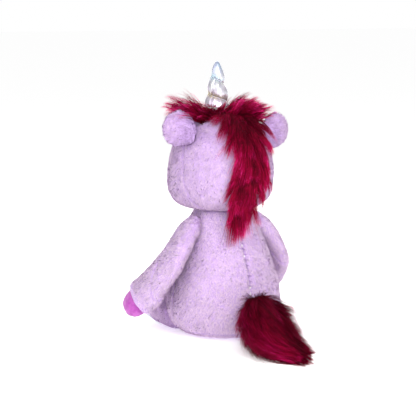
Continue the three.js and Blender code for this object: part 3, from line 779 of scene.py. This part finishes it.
# ---- muzzle, nostrils, mouth and eyes ----
def make_muzzle():
    skin = refine(hull("muzzle_skin", cad_points("muzzle_panel"), lining_skin, 2.6 * MM))
    push_in(skin, 0.6 * MM)
    fibres = pile("muzzle_pile", skin, lining_pile, 300, length=1.8 * MM, width=0.5 * MM,
                  where=lambda p, n: (n[:, 1] < 0.3).astype(float))
    for piece in (skin, fibres):
        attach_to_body(piece, "head")
    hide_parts("muzzle_panel")
    return BVHTree.FromObject(skin, bpy.context.evaluated_depsgraph_get())


muzzle_surface = make_muzzle()


def on_muzzle(x, z, lift):
    at, normal, _, _ = muzzle_surface.ray_cast(Vector((x, -0.3, z)), Vector((0, 1, 0)))
    return at + normal * lift


def satin(name, bars, node):
    """Satin stitch: threads side by side, each raised in its middle."""
    strands = []
    for (x0, z0), (x1, z1) in bars:
        strand = []
        for share, lift in ((0, 0.6), (0.2, 1.7), (0.5, 2.1), (0.8, 1.7), (1, 0.6)):
            strand.append(on_muzzle(x0 + (x1 - x0) * share, z0 + (z1 - z0) * share, lift * MM))
        strands.append(strand)
    thread_piece(name, strands, 0.42 * MM, plum_thread, "head", (node,))


def make_embroidery():
    for side in ("left", "right"):
        low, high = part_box(f"nostril_{side}")
        centre, half = (low + high) / 2, (high - low) / 2
        bars = []
        for share in np.linspace(-0.92, 0.92, 13):
            tall = half.z * math.sqrt(1 - share ** 2)
            x = centre.x + share * half.x
            bars.append(((x, centre.z - tall), (x, centre.z + tall)))
        satin(f"nostril_{side}_satin", bars, f"nostril_{side}")
    low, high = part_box("mouth_stitch")
    radius = 15 * MM
    middle = low.z + radius + 0.9 * MM
    bars = []
    for angle in np.linspace(math.radians(-155), math.radians(-25), 44):
        inner, outer = radius - 1.3 * MM, radius + 1.3 * MM
        bars.append((
            (inner * math.cos(angle), middle + inner * math.sin(angle)),
            (outer * math.cos(angle), middle + outer * math.sin(angle)),
        ))
    satin("mouth_satin", bars, "mouth_stitch")


make_embroidery()


def make_eye(side):
    """A domed cap on a shank, smooth as moulded plastic."""
    washer = middle_of(f"eye_washer_{side}")
    points = cad_points(f"eye_{side}")
    out = Vector(points.mean(axis=0)) - washer
    out.normalize()
    heights = (points - np.array(washer)) @ np.array(out)
    crown, foot = heights.max(), heights.min()
    profile = [
        (0, foot), (2, foot), (2, crown - 6.4 * MM), (7.2, crown - 6.2 * MM), (7.5, crown - 5.6 * MM),
        (7.4, crown - 4.6 * MM), (6.9, crown - 3.2 * MM), (5.9, crown - 1.9 * MM), (4.3, crown - 0.8 * MM),
        (2.2, crown - 0.2 * MM), (0, crown),
    ]
    bm = bmesh.new()
    chain = [bm.verts.new((r * MM, 0, h)) for r, h in profile]
    edges = [bm.edges.new(pair) for pair in zip(chain, chain[1:])]
    bmesh.ops.spin(
        bm, geom=chain + edges, axis=(0, 0, 1), cent=(0, 0, 0),
        angle=2 * math.pi, steps=48, use_duplicate=False,
    )
    bmesh.ops.remove_doubles(bm, verts=bm.verts[:], dist=1e-6)
    bmesh.ops.recalc_face_normals(bm, faces=bm.faces[:])
    mesh = mesh_from(bm, f"eye_{side}_cap")
    turn = out.to_track_quat("Z", "Y").to_matrix().to_4x4()
    turn.translation = washer
    mesh.transform(turn)
    smooth_faces(mesh)
    eye = link(f"eye_{side}_cap", mesh, eye_plastic)
    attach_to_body(eye, "head")
    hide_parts(f"eye_{side}")


for side in ("left", "right"):
    make_eye(side)


# ---- arms and legs ----
def bag(name, node, material, voxel, seed, noise):
    """A small hoof: a smooth bag with gathers."""
    skin = refine(hull(name, cad_points(node), material, voxel, smooth=4))
    points = coordinates(skin.data)
    large, small = ripples(points, 9 * MM, seed), ripples(points, 4 * MM, seed + 1)
    push_in(skin, 0.3 * MM - noise * large - noise * 0.5 * small)
    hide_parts(node)
    return skin


def cover_limb(skin, fibres, node):
    """Gives a limb's cloth its thickness."""
    settle(skin, ("SOLIDIFY", {"thickness": 1.0 * MM, "offset": -1}))
    for piece in (skin, fibres):
        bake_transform(piece)
    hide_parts(node)


def fill_limb(limb, nodes, seed):
    """The limb's filling stays in place inside the cloth round it, and the hoof's filling rides with the
    hoof.
    """
    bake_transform(stuffed(nodes[1], 1.6 * MM, seed + 20))
    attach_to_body(stuffed(nodes[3], 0.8 * MM, seed + 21), limb)


ARM_END = {"left": Vector((0.5, -0.58, -0.65)), "right": Vector((-0.12, -0.77, -0.62))}
HEM = 1.2 * MM


def make_arm(side, seed):
    nodes = [f"arm_{side}_{part}" for part in ("sleeve", "stuffing", "hoof", "hoof_stuffing")]
    skin = joined(f"arm_{side}_skin", nodes, skin_cloth, 2.6 * MM)
    end = ARM_END[side].normalized()
    cuff = (cad_points(nodes[0]) @ np.array(end)).max()
    shoulder = PIVOTS[f"arm_{side}_swing"]

    def seam(points):
        """How far points lie from the seam down the arm, which turns a little backwards."""
        return np.abs(points[:, 1] - shoulder.y - (shoulder.z - points[:, 2]) * 0.1)

    def held(points):
        past_cuff = np.clip((points @ np.array(end) - cuff + 6 * MM) / (5 * MM), 0, 1)
        near_root = valley(from_point(points, shoulder), 14 * MM)
        return past_cuff + near_root + valley(seam(points), 3 * MM)

    inflate(skin, held, 4 * MM)
    refine(skin)
    points = coordinates(skin.data)
    cloth_room = np.clip((cuff - points @ np.array(end)) / (8 * MM), 0.3, 1)
    push = PILE_ROOM * cloth_room - 0.6 * MM * ripples(points, 28 * MM, seed)
    push += 0.9 * MM * valley(seam(points), 1.7 * MM) * cloth_room
    push_in(skin, push - 0.12 * MM * ripples(points, 10 * MM, seed + 1))
    open_end(skin, end * (cuff - HEM), end, 0.8, 0.8 * MM)

    def groom(at):
        return np.tile(np.array(end) + DOWN * 0.6, (len(at), 1))

    def away_from_hem(p, n):
        return ((n @ np.array(end) < 0.85) | (p @ np.array(end) < cuff - 6 * MM)).astype(float)

    def trim(at):
        return np.clip((cuff - at @ np.array(end)) / (9 * MM), 0.35, 1)

    fibres = pile(f"arm_{side}_pile", skin, lavender_pile, seed + 5, where=away_from_hem, groom=groom,
                  trim=trim, seams=seam)
    cover_limb(skin, fibres, nodes[0])
    hoof = bag(f"arm_{side}_hoof_skin", nodes[2], orchid_cloth, 2 * MM, seed + 9, 0.3 * MM)
    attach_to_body(hoof, f"arm_{side}")
    fill_limb(f"arm_{side}", nodes, seed)


make_arm("left", 400)
make_arm("right", 430)


def foil_tints(points, seed, bands, scale):
    """Blends a few tints by smooth noise."""
    value = (ripples(points, scale, seed) * 0.28 + 0.5).clip(0, 1)
    stops = np.linspace(0, 1, len(bands))
    colours = np.array([srgb(*band) for band in bands])
    return np.stack([np.interp(value, stops, colours[:, k]) for k in range(4)], axis=1)


FOOT_TINTS = ((158, 174, 190), (182, 194, 204), (196, 186, 208), (172, 196, 198), (202, 194, 208))


def make_leg(side, seed):
    nodes = [f"leg_{side}_{part}" for part in ("cover", "stuffing", "hoof", "hoof_stuffing")]
    skin = joined(f"leg_{side}_skin", nodes, skin_cloth, 2.6 * MM)
    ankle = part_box(nodes[0])[0].y

    def held(points):
        return np.clip((ankle + 6 * MM - points[:, 1]) / (5 * MM), 0, 1) + (points[:, 2] < 3 * MM)

    inflate(skin, held, 3 * MM)
    refine(skin)
    points = coordinates(skin.data)
    cloth_room = np.clip((points[:, 1] - ankle) / (8 * MM), 0.3, 1)
    push_in(skin, PILE_ROOM * cloth_room - 0.5 * MM * ripples(points, 26 * MM, seed))
    open_end(skin, Vector((0, ankle + HEM, 0)), FRONT, 0.85, 0.8 * MM)
    put_back(skin.data, above(coordinates(skin.data), FLOOR_GAP))

    def dim(at):
        """Painted shade: darker all over, and more towards the torso and underneath, where the arm, the
        torso and the floor shade the leg.
        """
        gap = np.array([torso_surface.find_nearest(Vector(point))[3] for point in at])
        return 1.8 + 2.4 * np.exp(-gap / (9 * MM)) + 0.8 * (at[:, 2] < 12 * MM)

    fibres = pile(
        f"leg_{side}_pile", skin, lavender_pile, seed + 5, dim=dim,
        where=lambda p, n: ((n[:, 1] > -0.85) & (n[:, 2] > OFF_FLOOR)).astype(float),
        groom=lambda at: np.tile((0.0, -1.0, -0.3), (len(at), 1)),
        trim=lambda at: np.clip((at[:, 1] - ankle) / (9 * MM), 0.35, 1),
    )
    cover_limb(skin, fibres, nodes[0])
    hoof = bag(f"leg_{side}_hoof_skin", nodes[2], foot_foil, 2 * MM, seed + 9, 0.35 * MM)
    tint(hoof.data, foil_tints(coordinates(hoof.data), seed + 11, FOOT_TINTS, 16 * MM))
    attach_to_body(hoof, f"leg_{side}")
    fill_limb(f"leg_{side}", nodes, seed)


make_leg("left", 500)
make_leg("right", 530)


# ---- ears ----
# points at the ear's root, in mm from its pivot
EAR_FOLD = ((4, 3, -2), (15, 2, -18), (10, 7, -15), (17, -5, -20), (8, -6, -12))


def make_ear(side, seed):
    """A puffed round ear, hollowed in front, with its back cloth rolled over the rim."""
    sign = 1 if side == "left" else -1
    nodes = [f"ear_{side}_{part}" for part in ("back", "lining")]
    cloud = cad_points(*nodes)
    pivot = PIVOTS[f"ear_{side}_bend"]
    fold = np.array([pivot + Vector((x * sign, y, z)) * MM for x, y, z in EAR_FOLD])
    skin = refine(hull(f"ear_{side}_whole", np.concatenate([cloud, fold]), skin_cloth, 2.2 * MM, smooth=4))
    centre = cloud.mean(axis=0)
    behind = np.linalg.eigh(np.cov((cloud - centre).T))[1][:, 0]
    behind = behind * np.sign(behind[1])

    def hollowed(points):
        """The ear is a shallow bowl that opens forwards."""
        offset = points - centre
        deep = offset @ behind
        across = np.linalg.norm(offset - deep[:, None] * behind, axis=1)
        bowl = (1 - (across / (19 * MM)) ** 2).clip(0, 1) ** 1.5
        return points + behind * (bowl * np.where(deep < 0, 7 * MM, 2 * MM))[:, None]

    points = hollowed(coordinates(skin.data))
    put_back(skin.data, points)
    push_in(skin, 1.0 * MM - 0.4 * MM * ripples(points, 16 * MM, seed))
    rim = centre - behind * 3.2 * MM

    def groom(at):
        return unit(at - np.array(pivot)) + 0.3 * DOWN

    def dim(at):
        """Painted shade: darker all over, and most in the fold at the ear's root."""
        away = from_point(at, pivot + Vector((6 * sign, 4, -6)) * MM)
        return 4.2 * np.exp(-((away / (18 * MM)) ** 2)) + 2.3

    parts = {
        "back": (lambda p, n: (((p - rim) @ behind) > 0).astype(float), lavender_pile, 3 * MM, 1),
        "lining": (lambda p, n: (((p - rim) @ behind) <= 0).astype(float), lining_pile, 1.8 * MM, -1),
    }
    halves = {part: ((Vector(rim), Vector(behind) * -way),) for part, (_, _, _, way) in parts.items()}
    wall = panels(skin, halves, 1 * MM)
    for number, (part, (where, shades, length, _)) in enumerate(parts.items()):
        fibres = pile(f"ear_{side}_{part}_pile", skin, shades, seed + number, where=where, length=length,
                      groom=groom, dim=dim)
        wall[part].name = f"ear_{side}_{part}_skin"
        if part == "lining":
            wall[part].data.materials[0] = lining_skin
        for piece in (wall[part], fibres):
            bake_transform(piece)
        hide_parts(f"ear_{side}_{part}")
    discard(skin)
    wadding = stuffed(f"ear_{side}_wadding", 2.6 * MM, seed + 9)
    put_back(wadding.data, hollowed(coordinates(wadding.data)))
    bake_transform(wadding)


make_ear("left", 600)
make_ear("right", 630)

# ---- horn ----
HORN_LOW, HORN_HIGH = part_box("horn_cover")
HORN_PITCH = 22 * MM
HORN_RISE = 6.7 * MM  # how far up the winding groove is shifted at its start
HORN_TAPER = 0.62
HORN_BULGE = 4.0 * MM
WINDING_TURNS = 2.25
WINDING_STEPS = 180
HORN_LENGTH = HORN_HIGH.z - HORN_LOW.z
HORN_RADIUS = (HORN_HIGH.x - HORN_LOW.x) / 2
HORN_MIDDLE = (HORN_LOW + HORN_HIGH) / 2


def horn_radius(up, turn):
    share = np.clip(up / HORN_LENGTH, 0, 1)
    taper = HORN_RADIUS * (1 - HORN_TAPER * share ** 1.15) * np.sqrt(np.clip(1 - share ** 6, 0, 1))
    phase = ((up + HORN_RISE) / HORN_PITCH + turn / (2 * math.pi)) % 1
    puff = np.abs(np.sin(math.pi * phase)) ** 0.8
    fade = np.clip((1 - share) * 2.2, 0, 1)
    return taper - HORN_BULGE * (1 - puff) * fade, puff, fade, np.minimum(phase, 1 - phase) * HORN_PITCH


def make_horn():
    sides, levels = 180, 190
    turn = np.linspace(0, 2 * math.pi, sides, endpoint=False)[None, :]
    share = np.linspace(0, 1, levels)[:, None]
    up = share * HORN_LENGTH
    radius, puff, fade, from_groove = horn_radius(up, turn)
    rng = np.random.default_rng(700)
    pleats = np.zeros((levels, sides))
    for _ in range(8):
        around, lengthwise = rng.integers(8, 20), rng.uniform(-12, 12)
        pleats += np.sin(around * turn + lengthwise * share + rng.uniform(0, 2 * math.pi))
    pleats /= math.sqrt(8)
    near_groove = (1 - puff) ** 0.6
    r = np.maximum(radius + 0.5 * MM * pleats * (0.35 + near_groove) * fade, 0.2 * MM)
    points = np.stack([
        HORN_MIDDLE.x + r * np.cos(turn), HORN_MIDDLE.y + r * np.sin(turn), HORN_LOW.z + up + 0 * turn,
    ], axis=2)
    faces = []
    for i in range(levels - 1):
        for k in range(sides):
            n = (k + 1) % sides
            faces.append((i * sides + k, i * sides + n, (i + 1) * sides + n, (i + 1) * sides + k))
    faces.append(tuple(range(sides))[::-1])
    faces.append(tuple((levels - 1) * sides + k for k in range(sides)))
    mesh = bpy.data.meshes.new("horn_skin")
    mesh.from_pydata(points.reshape(-1, 3).tolist(), [], faces)
    smooth_faces(mesh)

    def colour(red, green, blue):
        return np.array(srgb(red, green, blue))

    def mix(base, other, share):
        return base + (other - base) * np.clip(share, 0, 1)[:, :, None]

    drift = ripples(points.reshape(-1, 3), 14 * MM, 705).reshape(levels, sides)
    tints = np.broadcast_to(colour(216, 216, 224), (levels, sides, 4))
    tints = mix(tints, colour(212, 194, 216), (0.55 - share) * 1.6 + 0.35 * drift)
    tints = mix(tints, colour(186, 194, 222), (share - 0.62) * 2.2 + 0.25 * drift)
    gold = valley(from_groove, 3.2 * MM) * valley(share - 0.34, 0.17)
    cyan = valley(from_groove, 4 * MM) * valley(share - 0.76, 0.17)
    # painted shade: darker along the winding groove
    tints = mix(tints, colour(140, 130, 166), 0.6 * valley(from_groove, 1.3 * MM))
    tints = mix(tints, colour(206, 188, 116), 0.95 * gold)
    tints = mix(tints, colour(138, 204, 218), 0.9 * cyan)
    # painted shade: darker in the valleys of the pleats, more so near the groove
    tints = mix(tints, colour(150, 142, 172), 0.45 * (-pleats).clip(0, 2) * (0.4 + near_groove))
    tint(mesh, tints.reshape(-1, 4))
    horn = link("horn_skin", mesh, horn_foil)
    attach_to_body(horn, "horn")
    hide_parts("horn_cover")

    winding = []
    for i in range(WINDING_STEPS + 1):
        height = 2 * MM + i / WINDING_STEPS * WINDING_TURNS * HORN_PITCH
        angle = -(((height + HORN_RISE) / HORN_PITCH) % 1) * 2 * math.pi
        reach = float(horn_radius(np.array(height), np.array(angle))[0]) + 0.25 * MM
        winding.append((
            HORN_MIDDLE.x + reach * math.cos(angle),
            HORN_MIDDLE.y + reach * math.sin(angle),
            HORN_LOW.z + height,
        ))
    thread_piece("horn_winding", [winding], 0.4 * MM, silver_thread, "horn", ("horn_thread",))
    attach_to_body(stuffed("horn_stuffing", 1.8 * MM, 720), "horn")


make_horn()


# ---- long pile: forelock, mane and tail ----
def clumped(at, rng, per_tuft):
    """For each root, the number of its tuft: the nearest of seeded tuft middles."""
    middles = at[rng.choice(len(at), max(8, len(at) // per_tuft), replace=False)]
    nearest = np.empty(len(at), int)
    for start in range(0, len(at), 2000):
        gap = ((at[start : start + 2000, None] - middles[None]) ** 2).sum(axis=2)
        nearest[start : start + 2000] = gap.argmin(axis=1)
    return nearest, len(middles)


def fur_shades(count, points, rng, brightness, contrast=2.9):
    """Painted shade and light: dark at the root, where the fibres shade each other, and brighter towards
    the tip, which catches the light. Some fibres are brighter than others at random.
    """
    along = np.linspace(0, 1, points - 1)[None, :]
    tone = along ** 1.3 * contrast + brightness[:, None] + 0.4 * rng.normal(size=(count, 1)) - 0.3
    return np.clip(np.round(tone), 0, len(crimson_shades) - 1).astype(int)


def ribbon_normals(paths, normal, rng):
    """Which way each ribbon faces: away from the skin where it lies flat, any way where it stands."""
    along = unit(paths[:, -1] - paths[:, 0])
    outward = normal - (normal * along).sum(axis=1, keepdims=True) * along
    aside = rng.normal(size=normal.shape)
    return unit(outward + 0.4 * aside), unit(outward + 0.22 * aside + 0.1 * rng.normal(size=normal.shape))


def long_fur(name, at, normal, flow, reach, lift, rng, sink=0.85, drop=0.3, per_tuft=26, points=6,
             width=0.5 * MM, spread=0.24, brightness=0.0, free=0.0, contrast=2.9):
    """Long pile that starts on a skin, flows along it and gathers into pointed tufts.

    Where free is 1 it leaves the skin and hangs.
    """
    count = len(at)
    tuft, tufts = clumped(at, rng, per_tuft)
    way = unit(flow + (rng.normal(size=(tufts, 3)) * spread)[tuft] + 0.08 * rng.normal(size=(count, 3)))
    free = np.broadcast_to(free, count)[:, None]
    way = unit(way - (1 - free) * (way * normal).sum(axis=1, keepdims=True) * normal)
    reach = reach * rng.uniform(0.7, 1.15, tufts)[tuft] * rng.uniform(0.8, 1.08, count)
    lift = lift * rng.uniform(0.55, 1.35, tufts)[tuft]
    share = np.linspace(0, 1, points)[None, :, None]
    run = reach[:, None, None] * share
    rise = lift[:, None, None] * ((2 + drop) * share - (1 + 2 * drop) * share ** 2)
    fall = run ** 2 / (2 * 67 * MM) * np.broadcast_to(sink, count)[:, None, None]
    own = at[:, None] + way[:, None] * run + normal[:, None] * (rise - fall - 0.5 * MM)
    middle = np.zeros((tufts, points, 3))
    members = np.bincount(tuft, minlength=tufts).clip(1)
    for k in range(points):
        for axis in range(3):
            middle[:, k, axis] = np.bincount(tuft, own[:, k, axis], tufts) / members
    pull = rng.uniform(0.3, 0.85, tufts)[tuft][:, None, None] * share ** 1.3
    pull = pull * np.where(rng.random(count) < 0.15, 0.2, 1)[:, None, None]
    paths = own * (1 - pull) + middle[tuft] * pull
    wave = np.sin(share * rng.uniform(3, 7, (count, 1, 1)) + rng.uniform(0, 6, (count, 1, 1)))
    paths = paths + np.cross(way, normal)[:, None] * wave * share * 0.8 * MM
    facing, shading = ribbon_normals(paths, normal, rng)
    tone = rng.normal(size=tufts)[tuft] * 0.4 + brightness
    shades = fur_shades(count, points, rng, tone, contrast)
    return fibre_mesh(name, paths, np.full(count, width), facing, shading, shades, crimson_shades)


FORELOCK_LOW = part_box("forelock")[0]
MANE_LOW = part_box("mane")[0]
PARTING_X = 9 * MM


def smooth_step(value, low, high):
    share = np.clip((value - low) / (high - low), 0, 1)
    return share * share * (3 - 2 * share)


def finish_fur(fur, body, node):
    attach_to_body(fur, body)
    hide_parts(node)


def make_crown():
    """Fur on top of the head: it parts behind the horn and stands up towards both ears."""
    rng = np.random.default_rng(800)

    def on_crown(p, n):
        x, y, z = p.T
        clear = np.hypot(x - HORN_MIDDLE.x, y - HORN_MIDDLE.y) > HORN_RADIUS * 0.85
        back_edge = np.where(x > PARTING_X, 12 * MM, 16 * MM)
        ahead = (y > FORELOCK_LOW.y) & (y < back_edge)
        return (clear & (np.abs(x) < 35 * MM) & ahead & (z > 250 * MM)).astype(float)

    at, normal = scatter(head, 0.66 * MM, rng, on_crown)
    x, y = at[:, 0], at[:, 1]
    aside = x - PARTING_X + 6 * MM * rng.normal(size=len(x))
    forward = smooth_step(HORN_MIDDLE.y - 6 * MM - y, 0, 14 * MM)
    flow = np.stack([
        np.sign(aside) * (1 - 0.75 * forward),
        0.25 * (1 - forward) * (aside < 0) - 1.2 * forward,
        np.full(len(x), 0.25) - 0.9 * forward,
    ], axis=1)
    standing = smooth_step(np.abs(aside), 4 * MM, 24 * MM)
    reach = (18 * MM + np.where(aside > 0, 17 * MM, 5 * MM) * standing) * (1 - 0.35 * forward)
    lift = (8 * MM + np.where(aside > 0, 27 * MM, 15 * MM) * standing) * (1 - 0.6 * forward)
    # Painted light: the tufts that stand up from the head are brighter, as fibres that catch the light.
    fur = long_fur("forelock_fur", at, normal, flow, reach, lift, rng, sink=0.5, drop=-0.15, contrast=2.4,
                   per_tuft=30, brightness=0.9 * standing - 0.1)
    finish_fur(fur, "head", "forelock")


def mane_line(z):
    """The x of the middle of the mane at a height: right at the top, left at the tip."""
    return 6 * MM - 13 * MM * smooth_step(z, 168 * MM, 235 * MM)


def make_mane():
    """A column of fur down the back of the head, which ends in a hanging tip."""
    rng = np.random.default_rng(830)

    def on_strip(p, n):
        x, y, z = p.T
        low = 1 - smooth_step(z, 168 * MM, 220 * MM)
        half = 15 * MM - 6 * MM * low
        return ((np.abs(x - mane_line(z)) < half) & (y > MANE_LOW.y) & (z > 168 * MM)).astype(float)

    at, normal = scatter(head, 0.62 * MM, rng, on_strip)
    x, y, z = at.T
    hanging = 1 - smooth_step(z, 172 * MM, 206 * MM)
    edge = (x - mane_line(z)) / (15 * MM)
    flow = np.stack([edge * (0.42 - 0.3 * hanging), np.zeros(len(x)), np.full(len(x), -1.0)], axis=1)
    reach = 42 * MM + 10 * MM * hanging
    lift = 11 * MM - 6 * MM * hanging
    # Painted light: the edges of the column are brighter, where thin fibres catch the light. The hanging
    # tip is also brighter and the top darker.
    brightness = 1.0 * edge ** 2 + 0.5 * hanging - 0.25 - 0.5 * smooth_step(z, 240 * MM, 262 * MM)
    fur = long_fur("mane_fur", at, normal, flow, reach, lift, rng, sink=0.8 - 0.75 * hanging,
                   free=0.8 * hanging, spread=0.12, per_tuft=40, contrast=1.9, brightness=brightness)
    finish_fur(fur, "head", "mane")


make_crown()
make_mane()
discard(head)


def outline_along_y(node, count):
    """Where planes across the y axis cut a CAD node: middle x and z, and half width and half height."""
    mesh = frame["nodes"][node].data
    points = coordinates(mesh)
    pairs = np.array([edge.vertices for edge in mesh.edges])
    a, b = points[pairs[:, 0]], points[pairs[:, 1]]
    stations = np.linspace(points[:, 1].min() + 1 * MM, points[:, 1].max() - 1 * MM, count)
    sizes = []
    for y in stations:
        crossing = (a[:, 1] - y) * (b[:, 1] - y) < 0
        share = ((y - a[:, 1]) / (b[:, 1] - a[:, 1] + 1e-12))[crossing, None]
        cut = a[crossing] + (b[crossing] - a[crossing]) * share
        low, high = cut.min(axis=0), cut.max(axis=0)
        centre, half = (low + high) / 2, (high - low) / 2
        sizes.append((centre[0], centre[2], half[0], half[2]))
    return stations, np.array(sizes)


TAIL_ROOT = 22 * MM  # the fur starts this far ahead of its CAD solid, inside the pile of the back


def make_tail():
    """Fibres that follow the tail's own line, swell with its outline and end in loose tufts."""
    rng = np.random.default_rng(860)
    stations, sizes = outline_along_y("tail_fur", 14)
    root = stations[0] - TAIL_ROOT
    stations = np.array([root, *stations])
    sizes = np.array([sizes[0] * np.array((1, 1, 0.85, 0.85)), *sizes])
    end = stations[-1]
    count, steps, tufts = 22000, 7, 800
    tuft = rng.integers(0, tufts, count)
    tuft_start = root + rng.random(tufts) ** 1.4 * (end - root) * 0.7
    tuft_turn = rng.uniform(0, 2 * math.pi, tufts)
    start = np.maximum(tuft_start[tuft] + rng.normal(size=count) * 4 * MM, root)
    turn = tuft_turn[tuft] + rng.normal(size=count) * 0.2
    reach = rng.uniform(36, 66, tufts)[tuft] * MM * rng.uniform(0.85, 1.05, count)
    outward = rng.uniform(0.7, 1.14, tufts)[tuft]
    flick = rng.uniform(-0.1, 0.42, tufts)[tuft]
    gathered = rng.uniform(0.3, 0.8, tufts)[tuft]
    drift = rng.normal(size=(tufts, 2))[tuft] * 4 * MM
    short_end = rng.random(count)
    paths = np.empty((count, steps, 3))
    inner = 0.2 + 0.5 * (1 - smooth_step(start, root, root + 14 * MM))
    for k, share in enumerate(np.linspace(0, 1, steps)):
        y = np.minimum(start + reach * share, end + 14 * MM * (1 - 0.6 * short_end))
        centre_x, centre_z, half_x, half_z = (np.interp(y, stations, sizes[:, i]) for i in range(4))
        angle = tuft_turn[tuft] + (turn - tuft_turn[tuft]) * (1 - gathered * share)
        r = inner + (outward + flick * share ** 2 - inner) * math.sin(share * math.pi / 2) ** 0.6
        paths[:, k] = np.stack([
            centre_x + half_x * r * np.cos(angle) + drift[:, 0] * share ** 2,
            y,
            centre_z + half_z * r * np.sin(angle) + drift[:, 1] * share ** 2,
        ], axis=1)
    above(paths, TAIL_FLOOR_GAP)
    radial = unit(np.stack([np.cos(turn), np.zeros(count), np.sin(turn)], axis=1))
    facing, shading = ribbon_normals(paths, radial, rng)
    # Painted light: tufts on the sides of the tail are brighter, as highlights along its rim.
    rim = np.abs(np.cos(turn)) ** 2
    shades = fur_shades(count, steps, rng, rng.normal(size=tufts)[tuft] * 0.35 - 0.8 + 0.7 * rim, 2.0)
    fur = fibre_mesh("tail_pile", paths, np.full(count, 0.55 * MM), facing, shading, shades, crimson_shades)
    finish_fur(fur, "tail", "tail_fur")


make_tail()

# ---- the pieces that keep their CAD shape ----
for name, node in frame["nodes"].items():
    if node.hide_render:
        continue
    if name == "neck_wad":
        finish = fill_fibre
    elif name == "pellet_pouch":
        finish = pouch_cloth
    elif name.startswith("eye_washer"):
        finish = washer_plastic
    else:
        finish = crimson_cloth
    node.data.materials.clear()
    node.data.materials.append(finish)


# ---- floor and light ----
def add_world():
    """A white room, brightest straight up and in a band along the horizon."""
    world = bpy.data.worlds.new("studio")
    world.use_nodes = True
    tree = world.node_tree
    place = tree.nodes.new("ShaderNodeTexCoord")
    split = tree.nodes.new("ShaderNodeSeparateXYZ")
    ramp = tree.nodes.new("ShaderNodeValToRGB")
    ramp.color_ramp.elements.new(0.1)
    stops = ((0.03, 1.0), (0.1, 0.42), (1.0, 0.65))
    for element, (position, value) in zip(ramp.color_ramp.elements, stops):
        element.position = position
        element.color = (value, value, value, 1)
    tree.links.new(place.outputs["Generated"], split.inputs["Vector"])
    tree.links.new(split.outputs["Z"], ramp.inputs["Fac"])
    tree.links.new(ramp.outputs["Color"], tree.nodes["Background"].inputs["Color"])
    bpy.context.scene.world = world


def add_stage():
    bpy.ops.mesh.primitive_plane_add(size=40)
    floor = bpy.context.object
    floor.name = "floor"
    white = plain("floor_white", (0.94, 0.94, 0.94, 1), roughness=1.0, specular=0.0)
    set_inputs(shader_of(white), {"Emission Color": (1, 1, 1, 1), "Emission Strength": 0.45})
    floor.data.materials.append(white)
    add_world()
    for name, offset, size, energy in (
        ("key", BACK * 1.5 + RIGHT * 0.45 + Vector((0, 0, 0.85)), 1.5, 31),
        ("fill", BACK * 1.0 - RIGHT * 1.4 + Vector((0, 0, 0.9)), 1.4, 9),
        ("front", BACK * -1.5 + Vector((0, 0, 1.0)), 1.4, 12),
    ):
        lamp = bpy.data.lights.new(name, "AREA")
        lamp.size = size
        lamp.energy = energy
        holder = bpy.data.objects.new(name, lamp)
        holder.location = offset
        holder.rotation_euler = (offset - Vector((0, 0, 0.15))).to_track_quat("Z", "Y").to_euler()
        bpy.context.scene.collection.objects.link(holder)
    bpy.context.scene.view_settings.view_transform = "Standard"


add_stage()
